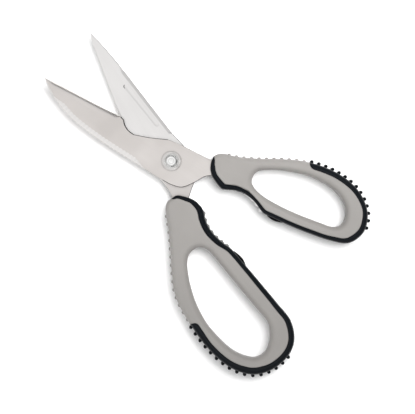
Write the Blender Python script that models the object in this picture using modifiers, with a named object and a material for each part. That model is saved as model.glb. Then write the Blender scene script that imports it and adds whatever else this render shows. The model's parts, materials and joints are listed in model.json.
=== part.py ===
"""Poultry shears, lying on one side with the blades a little open.

+X runs from the handles towards the blade tips, along the line that halves the
opening. +Z is up, square to the blades. Each half is drawn in its own closed
frame: the pivot at the origin and the blade's tip on +X. An empty on the pivot
axis then turns each half to its place, and a root empty moves the whole object
so that the origin is the centre of its footprint on the resting plane.
"""

import math

import bmesh
import bpy
from mathutils import Vector

MM = 0.001

# Heights above the resting plane, in millimetres.
HANDLE_THICKNESS = 14.0
SHEAR_PLANE = HANDLE_THICKNESS / 2
BLADE_THICKNESS = 2.5
GAP = 0.3
BLADE_LIFT = GAP / 2

# The pivot, in millimetres.
OPENING_DEG = 24.4
SHAFT_RADIUS = 2.7
PIVOT_HOLE_RADIUS = SHAFT_RADIUS + GAP
WASHER_RADIUS = 6.3
WASHER_THICKNESS = 0.8
WASHER_TEETH = 28
WASHER_TOOTH_DEPTH = 0.5
NUT_RADIUS = 4.7
NUT_FLANGE_HEIGHT = 0.9
NUT_HEIGHT = 2.9
SCREW_HEAD_RADIUS = 5.2
SCREW_HEAD_HEIGHT = 1.8
HEAD_BEVEL_WIDTH = 0.8
HEAD_BEVEL_DROP = 0.6
SCREW_SLOT_WIDTH = 1.2
SCREW_SLOT_DEPTH = 0.8
SHAFT_BELOW_NUT_TOP = 1.4
SHAFT_END_CLEARANCE = 0.5
SHAFT_END_CHAMFER = 0.4
TURN_STEPS = 24
DOME_STEPS = 5
HOLE_STEPS = 20

# The handles, in millimetres.
RIM_ROUNDING = 3.0
RIM_STEPS = 2
NUB_RADIUS = 1.2
NUB_HEIGHT = 6.5
CORE_NUB_STAND = -0.5
BAND_NUB_STAND = 0.75
JAW_HEIGHT = 7.0
JAW_TEETH = 7
JAW_PITCH = 4.3
JAW_TOOTH_FOOT = 0.2
JAW_BACK_DEPTH = 1.3
PAD_HEIGHT = 7.0
UPPER_TANG_HOLE = (-35.0, -15.6)
LOWER_TANG_HOLE = (-38.0, 13.2)
TANG_HOLE_RADIUS = 2.0
KEY_STEPS = 12
CUTTER_REACH = 5.0
SHARP_EDGE_DEG = 35

# The blades' ground edges, in millimetres.
SERRATION_PITCH = 1.2
SERRATION_DEPTH = 0.3
SCALER_PITCH = 2.6
SCALER_DEPTH = 0.45
CUT_BEVEL = 2.3
CUT_LAND = 0.4
BELLY_BEVEL = 2.8
BELLY_LAND = 0.9
SPINE_CHAMFER = 2.0
SPINE_DROP = 0.6
HOLLOW_WIDTH = 3.0
HOLLOW_DEPTH = 0.4
TIP_FADE = 20.0
END_FADE = 8.0
SPINE_FADE = 2.0

# Spacing of the points along the blades' plain stretches, in millimetres.
BEND_SPACING = 2.4
TANG_SPACING = 3.5
LONG_SPACING = 3.0
POINT_SPACING = 2.0

# Outlines in the closed frame of each half, in millimetres. A run of points is
# one smooth stretch; neighbouring runs meet in a corner.
UPPER_EDGE = [(94.9, 0.0), (84.3, -1.4), (70.2, -2.9), (56.1, -4.2), (41.5, -5.7)]
UPPER_NOTCH = [
    (41.5, -5.7), (39.2, -5.2), (36.6, -2.9), (33.0, -1.3), (28.6, -1.0), (19.2, -4.9),
    (9.1, -10.1), (1.0, -11.8), (-12.0, -13.2),
]
UPPER_TANG = [
    (-12.0, -13.2), (-22.0, -14.8), (-40.0, -22.0), (-43.5, -19.5), (-42.5, -15.0), (-26.0, -6.4),
]
UPPER_SHOULDER = [
    (-26.0, -6.4), (-22.6, -2.9), (-19.3, 3.5), (-14.6, 10.0), (-8.0, 12.4), (3.4, 13.4), (11.0, 13.4),
]
UPPER_BELLY = [(11.0, 13.4), (28.7, 13.9), (45.8, 13.9), (63.6, 12.8), (75.0, 10.2), (84.9, 6.5)]
UPPER_POINT = [(84.9, 6.5), (90.2, 3.6), (94.9, 0.0)]

LOWER_EDGE = [
    (94.9, 0.0), (90.6, 2.0), (77.7, 4.8), (58.0, 8.8), (44.5, 11.1), (31.0, 12.9), (14.0, 13.6),
]
LOWER_NECK = [(14.0, 13.6), (3.0, 13.7), (-6.0, 12.4), (-12.9, 11.4), (-18.9, 11.6)]
LOWER_TANG = [
    (-18.9, 11.6), (-28.0, 14.0), (-43.0, 20.4), (-46.8, 18.0), (-45.6, 13.0), (-25.5, 3.2),
]
LOWER_SHOULDER = [
    (-25.5, 3.2), (-21.4, -1.6), (-16.2, -8.2), (-9.0, -11.9), (2.0, -12.0), (13.9, -9.9),
]
LOWER_SPINE = [(13.9, -9.9), (37.0, -7.6), (57.1, -5.7), (68.5, -4.5)]
LOWER_POINT = [(68.5, -4.5), (77.3, -3.3), (86.4, -1.8), (94.9, 0.0)]
LOWER_HOLLOW_ENDS = ((24.5, -4.6), (54.7, -1.0))

UPPER_HANDLE = [
    (-20.5, -15.6), (-21.7, -19.3), (-25.5, -22.1), (-34.7, -25.7), (-45.7, -31.8), (-56.2, -38.5),
    (-67.3, -44.5), (-80.7, -49.2), (-94.0, -50.9), (-107.0, -49.1), (-117.8, -43.0), (-123.6, -34.5),
    (-124.5, -26.0), (-120.2, -17.6), (-109.8, -12.9), (-97.0, -9.6), (-84.0, -6.9), (-73.0, -5.3),
    (-67.0, -4.4), (-64.0, -4.8), (-57.1, -7.3), (-50.0, -7.9), (-43.5, -6.4), (-38.8, -3.8),
    (-36.9, -2.9), (-35.2, -2.8), (-31.0, -4.1), (-26.2, -6.3), (-22.6, -10.0),
]
UPPER_FINGER_HOLE = [
    (-48.4, -18.2), (-48.6, -24.0), (-53.5, -28.7), (-62.7, -34.0), (-75.0, -38.9), (-88.0, -41.0),
    (-99.2, -39.8), (-107.2, -35.2), (-110.9, -27.6), (-107.8, -21.6), (-97.5, -18.6), (-79.1, -14.8),
    (-62.0, -13.2), (-52.5, -14.6),
]
UPPER_BAND_INNER = [
    (-19.4, -17.6), (-21.3, -16.2), (-24.4, -12.8), (-28.8, -8.9), (-35.6, -6.4), (-42.2, -9.3),
    (-49.0, -10.5), (-56.1, -9.5), (-64.1, -6.7), (-75.9, -8.3), (-89.5, -10.3), (-102.5, -13.4),
    (-113.5, -17.1), (-119.4, -22.8), (-120.8, -30.5), (-117.3, -39.1), (-110.1, -44.4), (-99.3, -47.1),
    (-87.9, -46.9), (-79.0, -44.8), (-74.4, -45.2), (-72.2, -47.6), (-71.8, -52.0),
]
UPPER_BAND_OUTSIDE = [
    (-95.0, -58.0), (-118.0, -53.0), (-133.0, -36.0), (-130.0, -14.0), (-110.0, -5.0), (-70.0, 4.0),
    (-30.0, 4.0), (-14.0, -6.0), (-14.0, -17.6),
]

LOWER_HANDLE = [
    (-19.8, 11.5), (-20.6, 16.3), (-25.0, 19.9), (-37.3, 25.3), (-49.2, 31.6), (-61.0, 37.9),
    (-70.0, 42.0), (-82.0, 44.2), (-99.8, 44.2), (-111.5, 43.0), (-122.6, 40.2), (-132.4, 35.5),
    (-140.1, 27.9), (-143.5, 18.5), (-143.3, 8.6), (-140.2, -0.2), (-133.8, -6.6), (-123.4, -10.0),
    (-111.8, -8.8), (-93.8, -6.4), (-80.0, -4.5), (-70.0, -3.1), (-65.5, -2.1), (-60.6, -0.1),
    (-54.4, 1.7), (-48.4, 2.3), (-42.5, 1.5), (-37.9, -0.2), (-34.0, -0.5), (-28.2, 1.0), (-23.0, 5.1),
    (-20.2, 8.3),
]
LOWER_FINGER_HOLE = [
    (-54.4, 15.6), (-58.6, 10.8), (-66.7, 9.0), (-85.5, 6.8), (-104.8, 4.2), (-117.2, 2.8), (-125.4, 6.1),
    (-132.0, 13.4), (-131.4, 22.0), (-123.0, 29.3), (-112.1, 33.2), (-97.0, 35.5), (-81.7, 34.0),
    (-67.0, 29.5), (-56.6, 23.4),
]
LOWER_BAND_INNER = [
    (-18.6, 12.6), (-20.4, 10.5), (-25.0, 6.0), (-32.5, 3.1), (-38.6, 4.2), (-47.5, 6.1), (-57.0, 4.8),
    (-65.3, 0.9), (-74.2, -1.0), (-94.1, -3.4), (-112.3, -5.7), (-123.7, -6.3), (-132.5, -2.7),
    (-137.9, 4.0), (-139.6, 13.6), (-137.0, 23.8), (-131.0, 31.1), (-121.9, 36.4), (-111.2, 39.3),
    (-100.0, 39.8), (-94.8, 40.9), (-92.6, 43.4), (-91.8, 47.0),
]
LOWER_BAND_OUTSIDE = [
    (-115.0, 52.0), (-137.0, 44.0), (-153.0, 22.0), (-152.0, -4.0), (-132.0, -19.0), (-100.0, -16.0),
    (-60.0, -12.0), (-28.0, -8.0), (-12.0, 2.0), (-12.0, 12.6),
]

# Stretches of the handle outlines that carry a jaw plate and a stop pad.
UPPER_RECESS = [
    (-66.0, -4.6), (-60.9, -6.2), (-55.5, -7.6), (-50.0, -7.9), (-44.8, -6.9), (-40.0, -4.4), (-37.2, -3.0),
]
LOWER_RECESS = [
    (-66.0, -2.3), (-60.6, -0.1), (-54.4, 1.7), (-48.4, 2.3), (-42.5, 1.5), (-37.9, -0.2), (-36.0, -0.5),
]
UPPER_PAD_TOP = [(-68.6, -4.7), (-71.2, -4.0), (-75.2, -4.3), (-79.4, -6.1)]
UPPER_PAD_ROOT = [(-79.4, -6.1), (-79.0, -7.4), (-74.0, -6.7), (-69.2, -6.0), (-68.6, -4.7)]
LOWER_PAD_TOP = [(-68.6, -3.0), (-71.7, -4.3), (-75.6, -5.2), (-80.2, -4.5)]
LOWER_PAD_ROOT = [(-80.2, -4.5), (-79.8, -3.2), (-74.4, -2.5), (-69.2, -1.7), (-68.6, -3.0)]

# Nubs along the outer side: the outline point where the row starts, then how
# many there are on the handle core and on the grip band, each with their spacing.
UPPER_NUBS = {"start": (-28.1, -22.7), "core": (11, 4.72), "band": (14, 4.55)}
LOWER_NUBS = {"start": (-27.7, 20.8), "core": (14, 5.15), "band": (16, 5.02)}

# How far the teeth of each handle's jaw plate stand out of its recess.
UPPER_TOOTH_HEIGHT = 0.8
LOWER_TOOTH_HEIGHT = 1.8

# Colour, metallic value and roughness.
MATERIALS = {
    "blade_steel": ((0.66, 0.64, 0.62), 1.0, 0.34),
    "fastener_steel": ((0.78, 0.78, 0.77), 1.0, 0.22),
    "jaw_steel": ((0.70, 0.70, 0.70), 1.0, 0.30),
    "handle_grey": ((0.42, 0.40, 0.38), 0.0, 0.50),
    "grip_black": ((0.012, 0.016, 0.024), 0.0, 0.48),
    "pad_black": ((0.010, 0.011, 0.013), 0.0, 0.60),
}


def material(name):
    """The named Principled material, made on first use."""
    found = bpy.data.materials.get(name)
    if found:
        return found
    color, metallic, roughness = MATERIALS[name]
    made = bpy.data.materials.new(name)
    made.use_nodes = True
    shader = made.node_tree.nodes["Principled BSDF"]
    shader.inputs["Base Color"].default_value = (*color, 1.0)
    shader.inputs["Metallic"].default_value = metallic
    shader.inputs["Roughness"].default_value = roughness
    made.diffuse_color = (*color, 1.0)
    return made


def collection(name):
    made = bpy.data.collections.new(name)
    bpy.context.scene.collection.children.link(made)
    return made


def smooth_run(points, steps, closed=False):
    """Points on a Catmull-Rom curve through the given ones, steps to a span."""
    fixed = [Vector(point) for point in points]
    count = len(fixed)
    if closed:
        fixed = [fixed[-1], *fixed, fixed[0], fixed[1]]
    else:
        fixed = [2 * fixed[0] - fixed[1], *fixed, 2 * fixed[-1] - fixed[-2]]
    spans = count if closed else count - 1
    curve = []
    for span in range(spans):
        before, start, end, after = fixed[span:span + 4]
        for step in range(steps):
            t = step / steps
            pull = (end - before) * t + (2 * before - 5 * start + 4 * end - after) * t ** 2
            turn = (3 * start - before - 3 * end + after) * t ** 3
            curve.append(start + (pull + turn) / 2)
    if not closed:
        curve.append(fixed[-2])
    return curve


def normals(points, closed=False):
    """Unit normals to the left of the path's direction, one for each point."""
    count = len(points)
    result = []
    for index in range(count):
        before = points[(index - 1) % count] if closed or index > 0 else points[index]
        after = points[(index + 1) % count] if closed or index < count - 1 else points[index]
        along = (after - before).normalized()
        result.append(Vector((-along.y, along.x)))
    return result


def shifted(points, distance):
    """An open path moved sideways, to its left for a positive distance."""
    return [point + normal * distance for point, normal in zip(points, normals(points))]


def resampled(points, spacing):
    """Points at an even spacing along an open path, with both its ends."""
    lengths = [0.0]
    for start, end in zip(points, points[1:]):
        lengths.append(lengths[-1] + (end - start).length)
    count = max(1, round(lengths[-1] / spacing))
    return [point_at(points, lengths, lengths[-1] * index / count) for index in range(count + 1)]


def point_at(points, lengths, distance):
    for index in range(1, len(points)):
        if lengths[index] >= distance - 1e-9:
            span = lengths[index] - lengths[index - 1]
            return points[index - 1].lerp(points[index], (distance - lengths[index - 1]) / span)
    return points[-1]


def signed_area(points):
    pairs = zip(points, points[1:] + points[:1])
    return sum(a.x * b.y - b.x * a.y for a, b in pairs) / 2


def oblong(ends, width, steps):
    """A long slot's outline: two half circles about its ends, joined by straight sides."""
    start, end = (Vector(spot) for spot in ends)
    along = (end - start).normalized()
    outline = []
    for middle, away in ((end, along), (start, -along)):
        left = Vector((-away.y, away.x))
        for step in range(steps + 1):
            angle = math.pi * (step / steps - 0.5)
            outline.append(middle + (away * math.cos(angle) + left * math.sin(angle)) * width / 2)
    return outline


def circle(radius, segments, center=(0.0, 0.0)):
    angles = [2 * math.pi * index / segments for index in range(segments)]
    return [Vector((center[0] + radius * math.cos(a), center[1] + radius * math.sin(a))) for a in angles]


def add_object(name, mesh, home, slot=None):
    made = bpy.data.objects.new(name, mesh)
    home.objects.link(made)
    if slot:
        mesh.materials.clear()
        mesh.materials.append(material(slot))
    return made


def mesh_from(bm, name):
    mesh = bpy.data.meshes.new(name)
    bmesh.ops.recalc_face_normals(bm, faces=bm.faces)
    bm.to_mesh(mesh)
    bm.free()
    return mesh


def plate(name, outline, z_low, z_high, home, slot=None, holes=(), rounding=0.0):
    """A flat outline with holes, extruded between two heights, its rims rounded."""
    curve = bpy.data.curves.new(name, "CURVE")
    curve.dimensions = "2D"
    curve.fill_mode = "BOTH"
    curve.extrude = ((z_high - z_low) / 2 - rounding) * MM
    curve.bevel_depth = rounding * MM
    curve.bevel_resolution = RIM_STEPS
    curve.offset = -rounding * MM
    for index, loop in enumerate([outline, *holes]):
        turn = signed_area(loop) > 0
        ordered = loop if turn == (index == 0) else loop[::-1]
        spline = curve.splines.new("POLY")
        spline.points.add(len(ordered) - 1)
        spline.use_cyclic_u = True
        for spot, point in zip(spline.points, ordered):
            spot.co = (point.x * MM, point.y * MM, 0.0, 1.0)
    source = add_object(name, curve, home)
    source.location.z = (z_low + z_high) / 2 * MM
    bpy.context.view_layer.update()
    evaluated = source.evaluated_get(bpy.context.evaluated_depsgraph_get())
    mesh = bpy.data.meshes.new_from_object(evaluated)
    bm = bmesh.new()
    bm.from_mesh(mesh)
    bm.transform(source.matrix_world)
    bmesh.ops.remove_doubles(bm, verts=bm.verts, dist=1e-6)
    bpy.data.objects.remove(source)
    bpy.data.meshes.remove(mesh)
    return add_object(name, mesh_from(bm, name), home, slot)


def cutter(made):
    made.hide_render = True
    made.display_type = "WIRE"
    return made


def boolean(target, tool, operation):
    modifier = target.modifiers.new(operation.lower(), "BOOLEAN")
    modifier.operation = operation
    modifier.solver = "EXACT"
    modifier.object = tool
    return modifier


def edge_run(points, spacing, teeth=0.0, inner=(0.0, 0.0), outer=(0.0, 0.0), fade=(0.0, 0.0)):
    """One stretch of a blade's outline.

    teeth is how far every second point sits inside the edge. inner and outer
    are the width and the drop of the bevel towards the blade's two faces. fade
    is the length over which the bevels widen from the start, and narrow to the end.
    """
    path = resampled(smooth_run(points, 6), spacing)
    sides = normals(path)
    last = len(path) - 1
    run = []
    for index, (point, side) in enumerate(zip(path, sides)):
        bite = teeth if index % 2 else 0.0
        share = 1.0
        if fade[0]:
            share = min(share, index * spacing / fade[0])
        if fade[1]:
            share = min(share, (last - index) * spacing / fade[1])
        stop = {"at": point, "side": side, "bite": bite}
        stop["inner"] = (inner[0] * share, inner[1])
        stop["outer"] = (outer[0] * share, outer[1])
        run.append(stop)
    return run


def ground_plate(name, runs, inner_z, outer_z, home, slot):
    """A blade: four loops, so that each stretch has its own bevel on each face."""
    loop = [stop for run in runs for stop in run[:-1]]
    facing = 1 if signed_area([stop["at"] for stop in loop]) > 0 else -1
    toward = 1 if outer_z > inner_z else -1
    bm = bmesh.new()
    rings = []
    for level in range(4):
        ring = []
        for stop in loop:
            width, drop = stop["inner"] if level < 2 else stop["outer"]
            inset = stop["bite"] + (width if level in (0, 3) else 0.0)
            spot = stop["at"] + stop["side"] * facing * inset
            rise = drop if level in (1, 2) else 0.0
            z = inner_z + toward * rise if level < 2 else outer_z - toward * rise
            ring.append(bm.verts.new((spot.x * MM, spot.y * MM, z * MM)))
        rings.append(ring)
    count = len(loop)
    for low, high in zip(rings, rings[1:]):
        for index in range(count):
            after = (index + 1) % count
            bm.faces.new((low[index], low[after], high[after], high[index]))
    bm.faces.new(rings[0][::-1])
    bm.faces.new(rings[-1])
    bmesh.ops.remove_doubles(bm, verts=bm.verts, dist=1e-6)
    bmesh.ops.dissolve_degenerate(bm, dist=1e-6, edges=bm.edges)
    return add_object(name, mesh_from(bm, name), home, slot)


def turned(name, profile, steps, home, slot):
    """A solid of revolution about Z: a profile in +X, read from top to bottom."""
    bm = bmesh.new()
    corners = [bm.verts.new((radius * MM, 0.0, z * MM)) for radius, z in profile]
    for start, end in zip(corners, corners[1:]):
        bm.edges.new((start, end))
    mesh = bpy.data.meshes.new(name)
    bm.to_mesh(mesh)
    bm.free()
    made = add_object(name, mesh, home, slot)
    screw = made.modifiers.new("turn", "SCREW")
    screw.steps = steps
    screw.render_steps = steps
    screw.use_merge_vertices = True
    screw.merge_threshold = 0.00001
    return made


def make_upper_blade(home, cutters):
    """The blade on top: fine serrations, a bone notch and a scaler on its back."""
    low = SHEAR_PLANE + BLADE_LIFT
    cut_bevel = (CUT_BEVEL, BLADE_THICKNESS - CUT_LAND)
    cut_fade = (TIP_FADE, END_FADE)
    belly_bevel = (BELLY_BEVEL, BLADE_THICKNESS - BELLY_LAND)
    runs = [
        edge_run(UPPER_EDGE, SERRATION_PITCH / 2, SERRATION_DEPTH, outer=cut_bevel, fade=cut_fade),
        edge_run(UPPER_NOTCH, BEND_SPACING),
        edge_run(UPPER_TANG, TANG_SPACING),
        edge_run(UPPER_SHOULDER, BEND_SPACING),
        edge_run(UPPER_BELLY, SCALER_PITCH / 2, SCALER_DEPTH, outer=belly_bevel, fade=(END_FADE, END_FADE)),
        edge_run(UPPER_POINT, POINT_SPACING),
    ]
    blade = ground_plate("upper_blade", runs, low, low + BLADE_THICKNESS, home, "blade_steel")
    cut_round_hole(blade, (0.0, 0.0), PIVOT_HOLE_RADIUS, low, cutters)
    cut_round_hole(blade, UPPER_TANG_HOLE, TANG_HOLE_RADIUS, low, cutters)
    return blade


def make_lower_blade(home, cutters):
    """The blade below: a plain edge, ground underneath, and a hollow inner face."""
    high = SHEAR_PLANE - BLADE_LIFT
    cut_bevel = (CUT_BEVEL, BLADE_THICKNESS - CUT_LAND)
    spine_bevel = (SPINE_CHAMFER, SPINE_DROP)
    runs = [
        edge_run(LOWER_EDGE, LONG_SPACING, outer=cut_bevel, fade=(TIP_FADE, END_FADE)),
        edge_run(LOWER_NECK, LONG_SPACING),
        edge_run(LOWER_TANG, TANG_SPACING),
        edge_run(LOWER_SHOULDER, BEND_SPACING),
        edge_run(LOWER_SPINE, SPINE_FADE, inner=spine_bevel, fade=(SPINE_FADE, SPINE_FADE)),
        edge_run(LOWER_POINT, LONG_SPACING),
    ]
    blade = ground_plate("lower_blade", runs, high, high - BLADE_THICKNESS, home, "blade_steel")
    low = high - BLADE_THICKNESS
    cut_round_hole(blade, (0.0, 0.0), PIVOT_HOLE_RADIUS, low, cutters)
    cut_round_hole(blade, LOWER_TANG_HOLE, TANG_HOLE_RADIUS, low, cutters)
    hollow = oblong(LOWER_HOLLOW_ENDS, HOLLOW_WIDTH, 8)
    tool = cutter(plate("lower_blade_hollow", hollow, high - HOLLOW_DEPTH, high + 1.0, cutters))
    boolean(blade, tool, "DIFFERENCE")
    return blade


def cut_round_hole(target, center, radius, low, cutters):
    name = f"{target.name}_hole_{len(target.modifiers)}"
    tool = plate(name, circle(radius, HOLE_STEPS, center), low - 1.0, low + BLADE_THICKNESS + 1.0, cutters)
    boolean(target, cutter(tool), "DIFFERENCE")


def make_pivot(home, cutters):
    """The screw, with its head underneath, then the toothed washer and cap nut."""
    washer_low = SHEAR_PLANE + BLADE_LIFT + BLADE_THICKNESS + GAP
    nut_low = washer_low + WASHER_THICKNESS + GAP
    nut_top = nut_low + NUT_HEIGHT
    shaft_top = nut_top - SHAFT_BELOW_NUT_TOP
    head_high = SHEAR_PLANE - BLADE_LIFT - BLADE_THICKNESS - GAP
    head_low = head_high - SCREW_HEAD_HEIGHT
    screw_profile = [
        (0.0, shaft_top), (SHAFT_RADIUS - SHAFT_END_CHAMFER, shaft_top),
        (SHAFT_RADIUS, shaft_top - SHAFT_END_CHAMFER), (SHAFT_RADIUS, head_high),
        (SCREW_HEAD_RADIUS, head_high), (SCREW_HEAD_RADIUS, head_low + HEAD_BEVEL_DROP),
        (SCREW_HEAD_RADIUS - HEAD_BEVEL_WIDTH, head_low), (0.0, head_low),
    ]
    screw = turned("pivot_screw", screw_profile, TURN_STEPS, home, "fastener_steel")
    half_slot = SCREW_SLOT_WIDTH / 2
    reach = SCREW_HEAD_RADIUS + 1.0
    corners = [(-reach, -half_slot), (reach, -half_slot), (reach, half_slot), (-reach, half_slot)]
    slot_outline = [Vector(corner) for corner in corners]
    slot = plate("pivot_screw_slot", slot_outline, head_low - 1.0, head_low + SCREW_SLOT_DEPTH, cutters)
    boolean(screw, cutter(slot), "DIFFERENCE")

    rim = []
    for index in range(2 * WASHER_TEETH):
        angle = math.pi * index / WASHER_TEETH
        radius = WASHER_RADIUS - (WASHER_TOOTH_DEPTH if index % 2 else 0.0)
        rim.append(Vector((radius * math.cos(angle), radius * math.sin(angle))))
    bore = circle(PIVOT_HOLE_RADIUS, HOLE_STEPS)
    washer_high = washer_low + WASHER_THICKNESS
    washer = plate("pivot_washer", rim, washer_low, washer_high, home, "fastener_steel", holes=[bore])

    bore_top = shaft_top + SHAFT_END_CLEARANCE
    dome_base = nut_low + NUT_FLANGE_HEIGHT
    dome_height = nut_top - dome_base
    nut_profile = [(0.0, nut_top)]
    for step in range(1, DOME_STEPS + 1):
        angle = math.radians(90 * step / DOME_STEPS)
        nut_profile.append((NUT_RADIUS * math.sin(angle), dome_base + dome_height * math.cos(angle)))
    nut_profile += [
        (NUT_RADIUS, nut_low), (PIVOT_HOLE_RADIUS, nut_low), (PIVOT_HOLE_RADIUS, bore_top), (0.0, bore_top),
    ]
    nut = turned("pivot_nut", nut_profile, TURN_STEPS, home, "fastener_steel")
    return [screw, washer, nut]


def band_region(name, inner, outside, shift, cutters):
    """A tall prism over the grip band, its inner line moved sideways by shift."""
    line = shifted(smooth_run(inner, 3), shift)
    outline = line + [Vector(point) for point in outside]
    return cutter(plate(name, outline, -CUTTER_REACH, HANDLE_THICKNESS + CUTTER_REACH, cutters))


def nub_places(outline, row):
    """Places and outward directions of the nubs on the core, then of those on the band."""
    first = min(range(len(outline)), key=lambda index: (outline[index] - Vector(row["start"])).length)
    path = outline[first:] + outline[:first]
    lengths = [0.0]
    for start, end in zip(path, path[1:]):
        lengths.append(lengths[-1] + (end - start).length)
    outward = 1 if signed_area(outline) < 0 else -1
    distance = 0.0
    groups = []
    for count, pitch in (row["core"], row["band"]):
        places = []
        for _ in range(count):
            here = point_at(path, lengths, distance)
            ahead = point_at(path, lengths, distance + 0.5)
            along = (ahead - here).normalized()
            places.append((here, Vector((-along.y, along.x)) * outward))
            distance += pitch
        groups.append(places)
    return groups


def nub_row(name, places, stand, cutters):
    """Upright pills on the handle's outer side, centred stand outside its wall."""
    bm = bmesh.new()
    stretch = NUB_HEIGHT / 2 - NUB_RADIUS
    for place, outward in places:
        made = bmesh.ops.create_uvsphere(bm, u_segments=8, v_segments=3, radius=NUB_RADIUS * MM)
        center = place + outward * stand
        for vert in made["verts"]:
            lift = stretch if vert.co.z > 0 else -stretch
            vert.co += Vector((center.x, center.y, SHEAR_PLANE + lift)) * MM
    return cutter(add_object(name, mesh_from(bm, name), cutters))


def jaw_outline(recess, inward, tooth_height, growth=0.0):
    """A strip that follows the recess: a row of teeth in front, a plain back.

    inward is 1 where the handle is on the left of the recess line, else -1.
    A growth above zero gives the pocket that the strip sits in, with no teeth.
    """
    path = smooth_run(recess, 8)
    length = sum((end - start).length for start, end in zip(path, path[1:]))
    margin = (length - JAW_TEETH * JAW_PITCH) / 2
    lengths = [0.0]
    for start, end in zip(path, path[1:]):
        lengths.append(lengths[-1] + (end - start).length)
    stops = [margin - growth]
    stops += [margin + JAW_PITCH * index / 2 for index in range(1, 2 * JAW_TEETH)]
    stops += [length - margin + growth]
    line = [point_at(path, lengths, stop) for stop in stops]
    sides = normals(line)
    front = []
    for index, (point, side) in enumerate(zip(line, sides)):
        proud = tooth_height if index % 2 else JAW_TOOTH_FOOT
        if growth:
            proud = CUTTER_REACH
        front.append(point - side * inward * proud)
    back = [point + side * inward * (JAW_BACK_DEPTH + growth) for point, side in zip(line, sides)]
    return front + back[::-1]


def pad_outline(top, root, growth=0.0):
    loop = smooth_run(top, 4)[:-1] + [Vector(point) for point in root[:-1]]
    if not growth:
        return loop
    facing = 1 if signed_area(loop) > 0 else -1
    return [point - side * facing * growth for point, side in zip(loop, normals(loop, closed=True))]


def make_handle(side, shape, home, cutters):
    """One handle: the grey core, the dark grip band, the jaw plate and the stop pad."""
    outline = smooth_run(shape["outline"], 3, closed=True)
    hole = smooth_run(shape["hole"], 3, closed=True)
    core_name = f"{side}_handle_core"
    grip_name = f"{side}_handle_grip"
    core = plate(core_name, outline, 0.0, HANDLE_THICKNESS, home, "handle_grey", [hole], RIM_ROUNDING)
    grip = plate(grip_name, outline, 0.0, HANDLE_THICKNESS, home, "grip_black", [hole], RIM_ROUNDING)

    core_nubs, grip_nubs = nub_places(outline, shape["nubs"])
    boolean(core, nub_row(f"{core_name}_nubs", core_nubs, CORE_NUB_STAND, cutters), "UNION")
    boolean(grip, nub_row(f"{grip_name}_nubs", grip_nubs, BAND_NUB_STAND, cutters), "UNION")

    toward_core = shape["core_side"] * GAP / 2
    kept_out = band_region(f"{side}_core_limit", shape["band"], shape["outside"], toward_core, cutters)
    kept_in = band_region(f"{side}_grip_limit", shape["band"], shape["outside"], -toward_core, cutters)
    boolean(core, kept_out, "DIFFERENCE")
    boolean(grip, kept_in, "INTERSECT")

    tang = shape["tang"]
    facing = 1 if signed_area(tang) > 0 else -1
    pocket = [point - normal * facing * GAP for point, normal in zip(tang, normals(tang, closed=True))]
    keyhole = circle(TANG_HOLE_RADIUS - GAP, KEY_STEPS, shape["tang_hole"])
    low, high = shape["tang_z"]
    room = plate(f"{side}_tang_pocket", pocket, low - GAP, high + GAP, cutters, holes=[keyhole])
    for piece in (core, grip):
        boolean(piece, cutter(room), "DIFFERENCE")

    inward = shape["recess_side"]
    teeth = shape["tooth_height"]
    jaw_low = SHEAR_PLANE - JAW_HEIGHT / 2
    jaw_high = SHEAR_PLANE + JAW_HEIGHT / 2
    jaw_line = jaw_outline(shape["recess"], inward, teeth)
    jaw = plate(f"{side}_jaw_plate", jaw_line, jaw_low, jaw_high, home, "jaw_steel")
    seat_line = jaw_outline(shape["recess"], inward, teeth, GAP)
    seat = plate(f"{side}_jaw_seat", seat_line, jaw_low - GAP, jaw_high + GAP, cutters)
    boolean(grip, cutter(seat), "DIFFERENCE")

    pad_low = SHEAR_PLANE - PAD_HEIGHT / 2
    pad_high = SHEAR_PLANE + PAD_HEIGHT / 2
    pad_line = pad_outline(*shape["pad"])
    pad = plate(f"{side}_stop_pad", pad_line, pad_low, pad_high, home, "pad_black")
    socket_line = pad_outline(*shape["pad"], growth=GAP)
    socket = plate(f"{side}_pad_socket", socket_line, pad_low - GAP, pad_high + GAP, cutters)
    boolean(grip, cutter(socket), "DIFFERENCE")
    return [core, grip, jaw, pad]


def tang_path(front, runs):
    """The closed outline of the part of a blade that the handle holds."""
    path = []
    for run in runs:
        path += resampled(smooth_run(run, 6), TANG_SPACING)[:-1]
    return path + [Vector(point) for point in front]


def upper_handle_shape():
    low = SHEAR_PLANE + BLADE_LIFT
    return {
        "outline": UPPER_HANDLE, "hole": UPPER_FINGER_HOLE, "nubs": UPPER_NUBS,
        "band": UPPER_BAND_INNER, "outside": UPPER_BAND_OUTSIDE, "core_side": 1,
        "tang": tang_path([(-26.0, -6.4), (-19.0, 2.0), (-8.0, -2.0)], [UPPER_TANG]),
        "tang_hole": UPPER_TANG_HOLE, "tang_z": (low, low + BLADE_THICKNESS),
        "recess": UPPER_RECESS, "recess_side": -1, "tooth_height": UPPER_TOOTH_HEIGHT,
        "pad": (UPPER_PAD_TOP, UPPER_PAD_ROOT),
    }


def lower_handle_shape():
    high = SHEAR_PLANE - BLADE_LIFT
    return {
        "outline": LOWER_HANDLE, "hole": LOWER_FINGER_HOLE, "nubs": LOWER_NUBS,
        "band": LOWER_BAND_INNER, "outside": LOWER_BAND_OUTSIDE, "core_side": -1,
        "tang": tang_path([(-25.5, 3.2), (-18.0, -4.0), (-8.0, 2.0), (-8.0, 11.5)], [LOWER_TANG]),
        "tang_hole": LOWER_TANG_HOLE, "tang_z": (high - BLADE_THICKNESS, high),
        "recess": LOWER_RECESS, "recess_side": 1, "tooth_height": LOWER_TOOTH_HEIGHT,
        "pad": (LOWER_PAD_TOP, LOWER_PAD_ROOT),
    }


def empty_at(name, home, parent=None, turn_deg=0.0):
    made = bpy.data.objects.new(name, None)
    home.objects.link(made)
    made.empty_display_size = 0.01
    made.rotation_euler.z = math.radians(turn_deg)
    made.parent = parent
    return made


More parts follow.
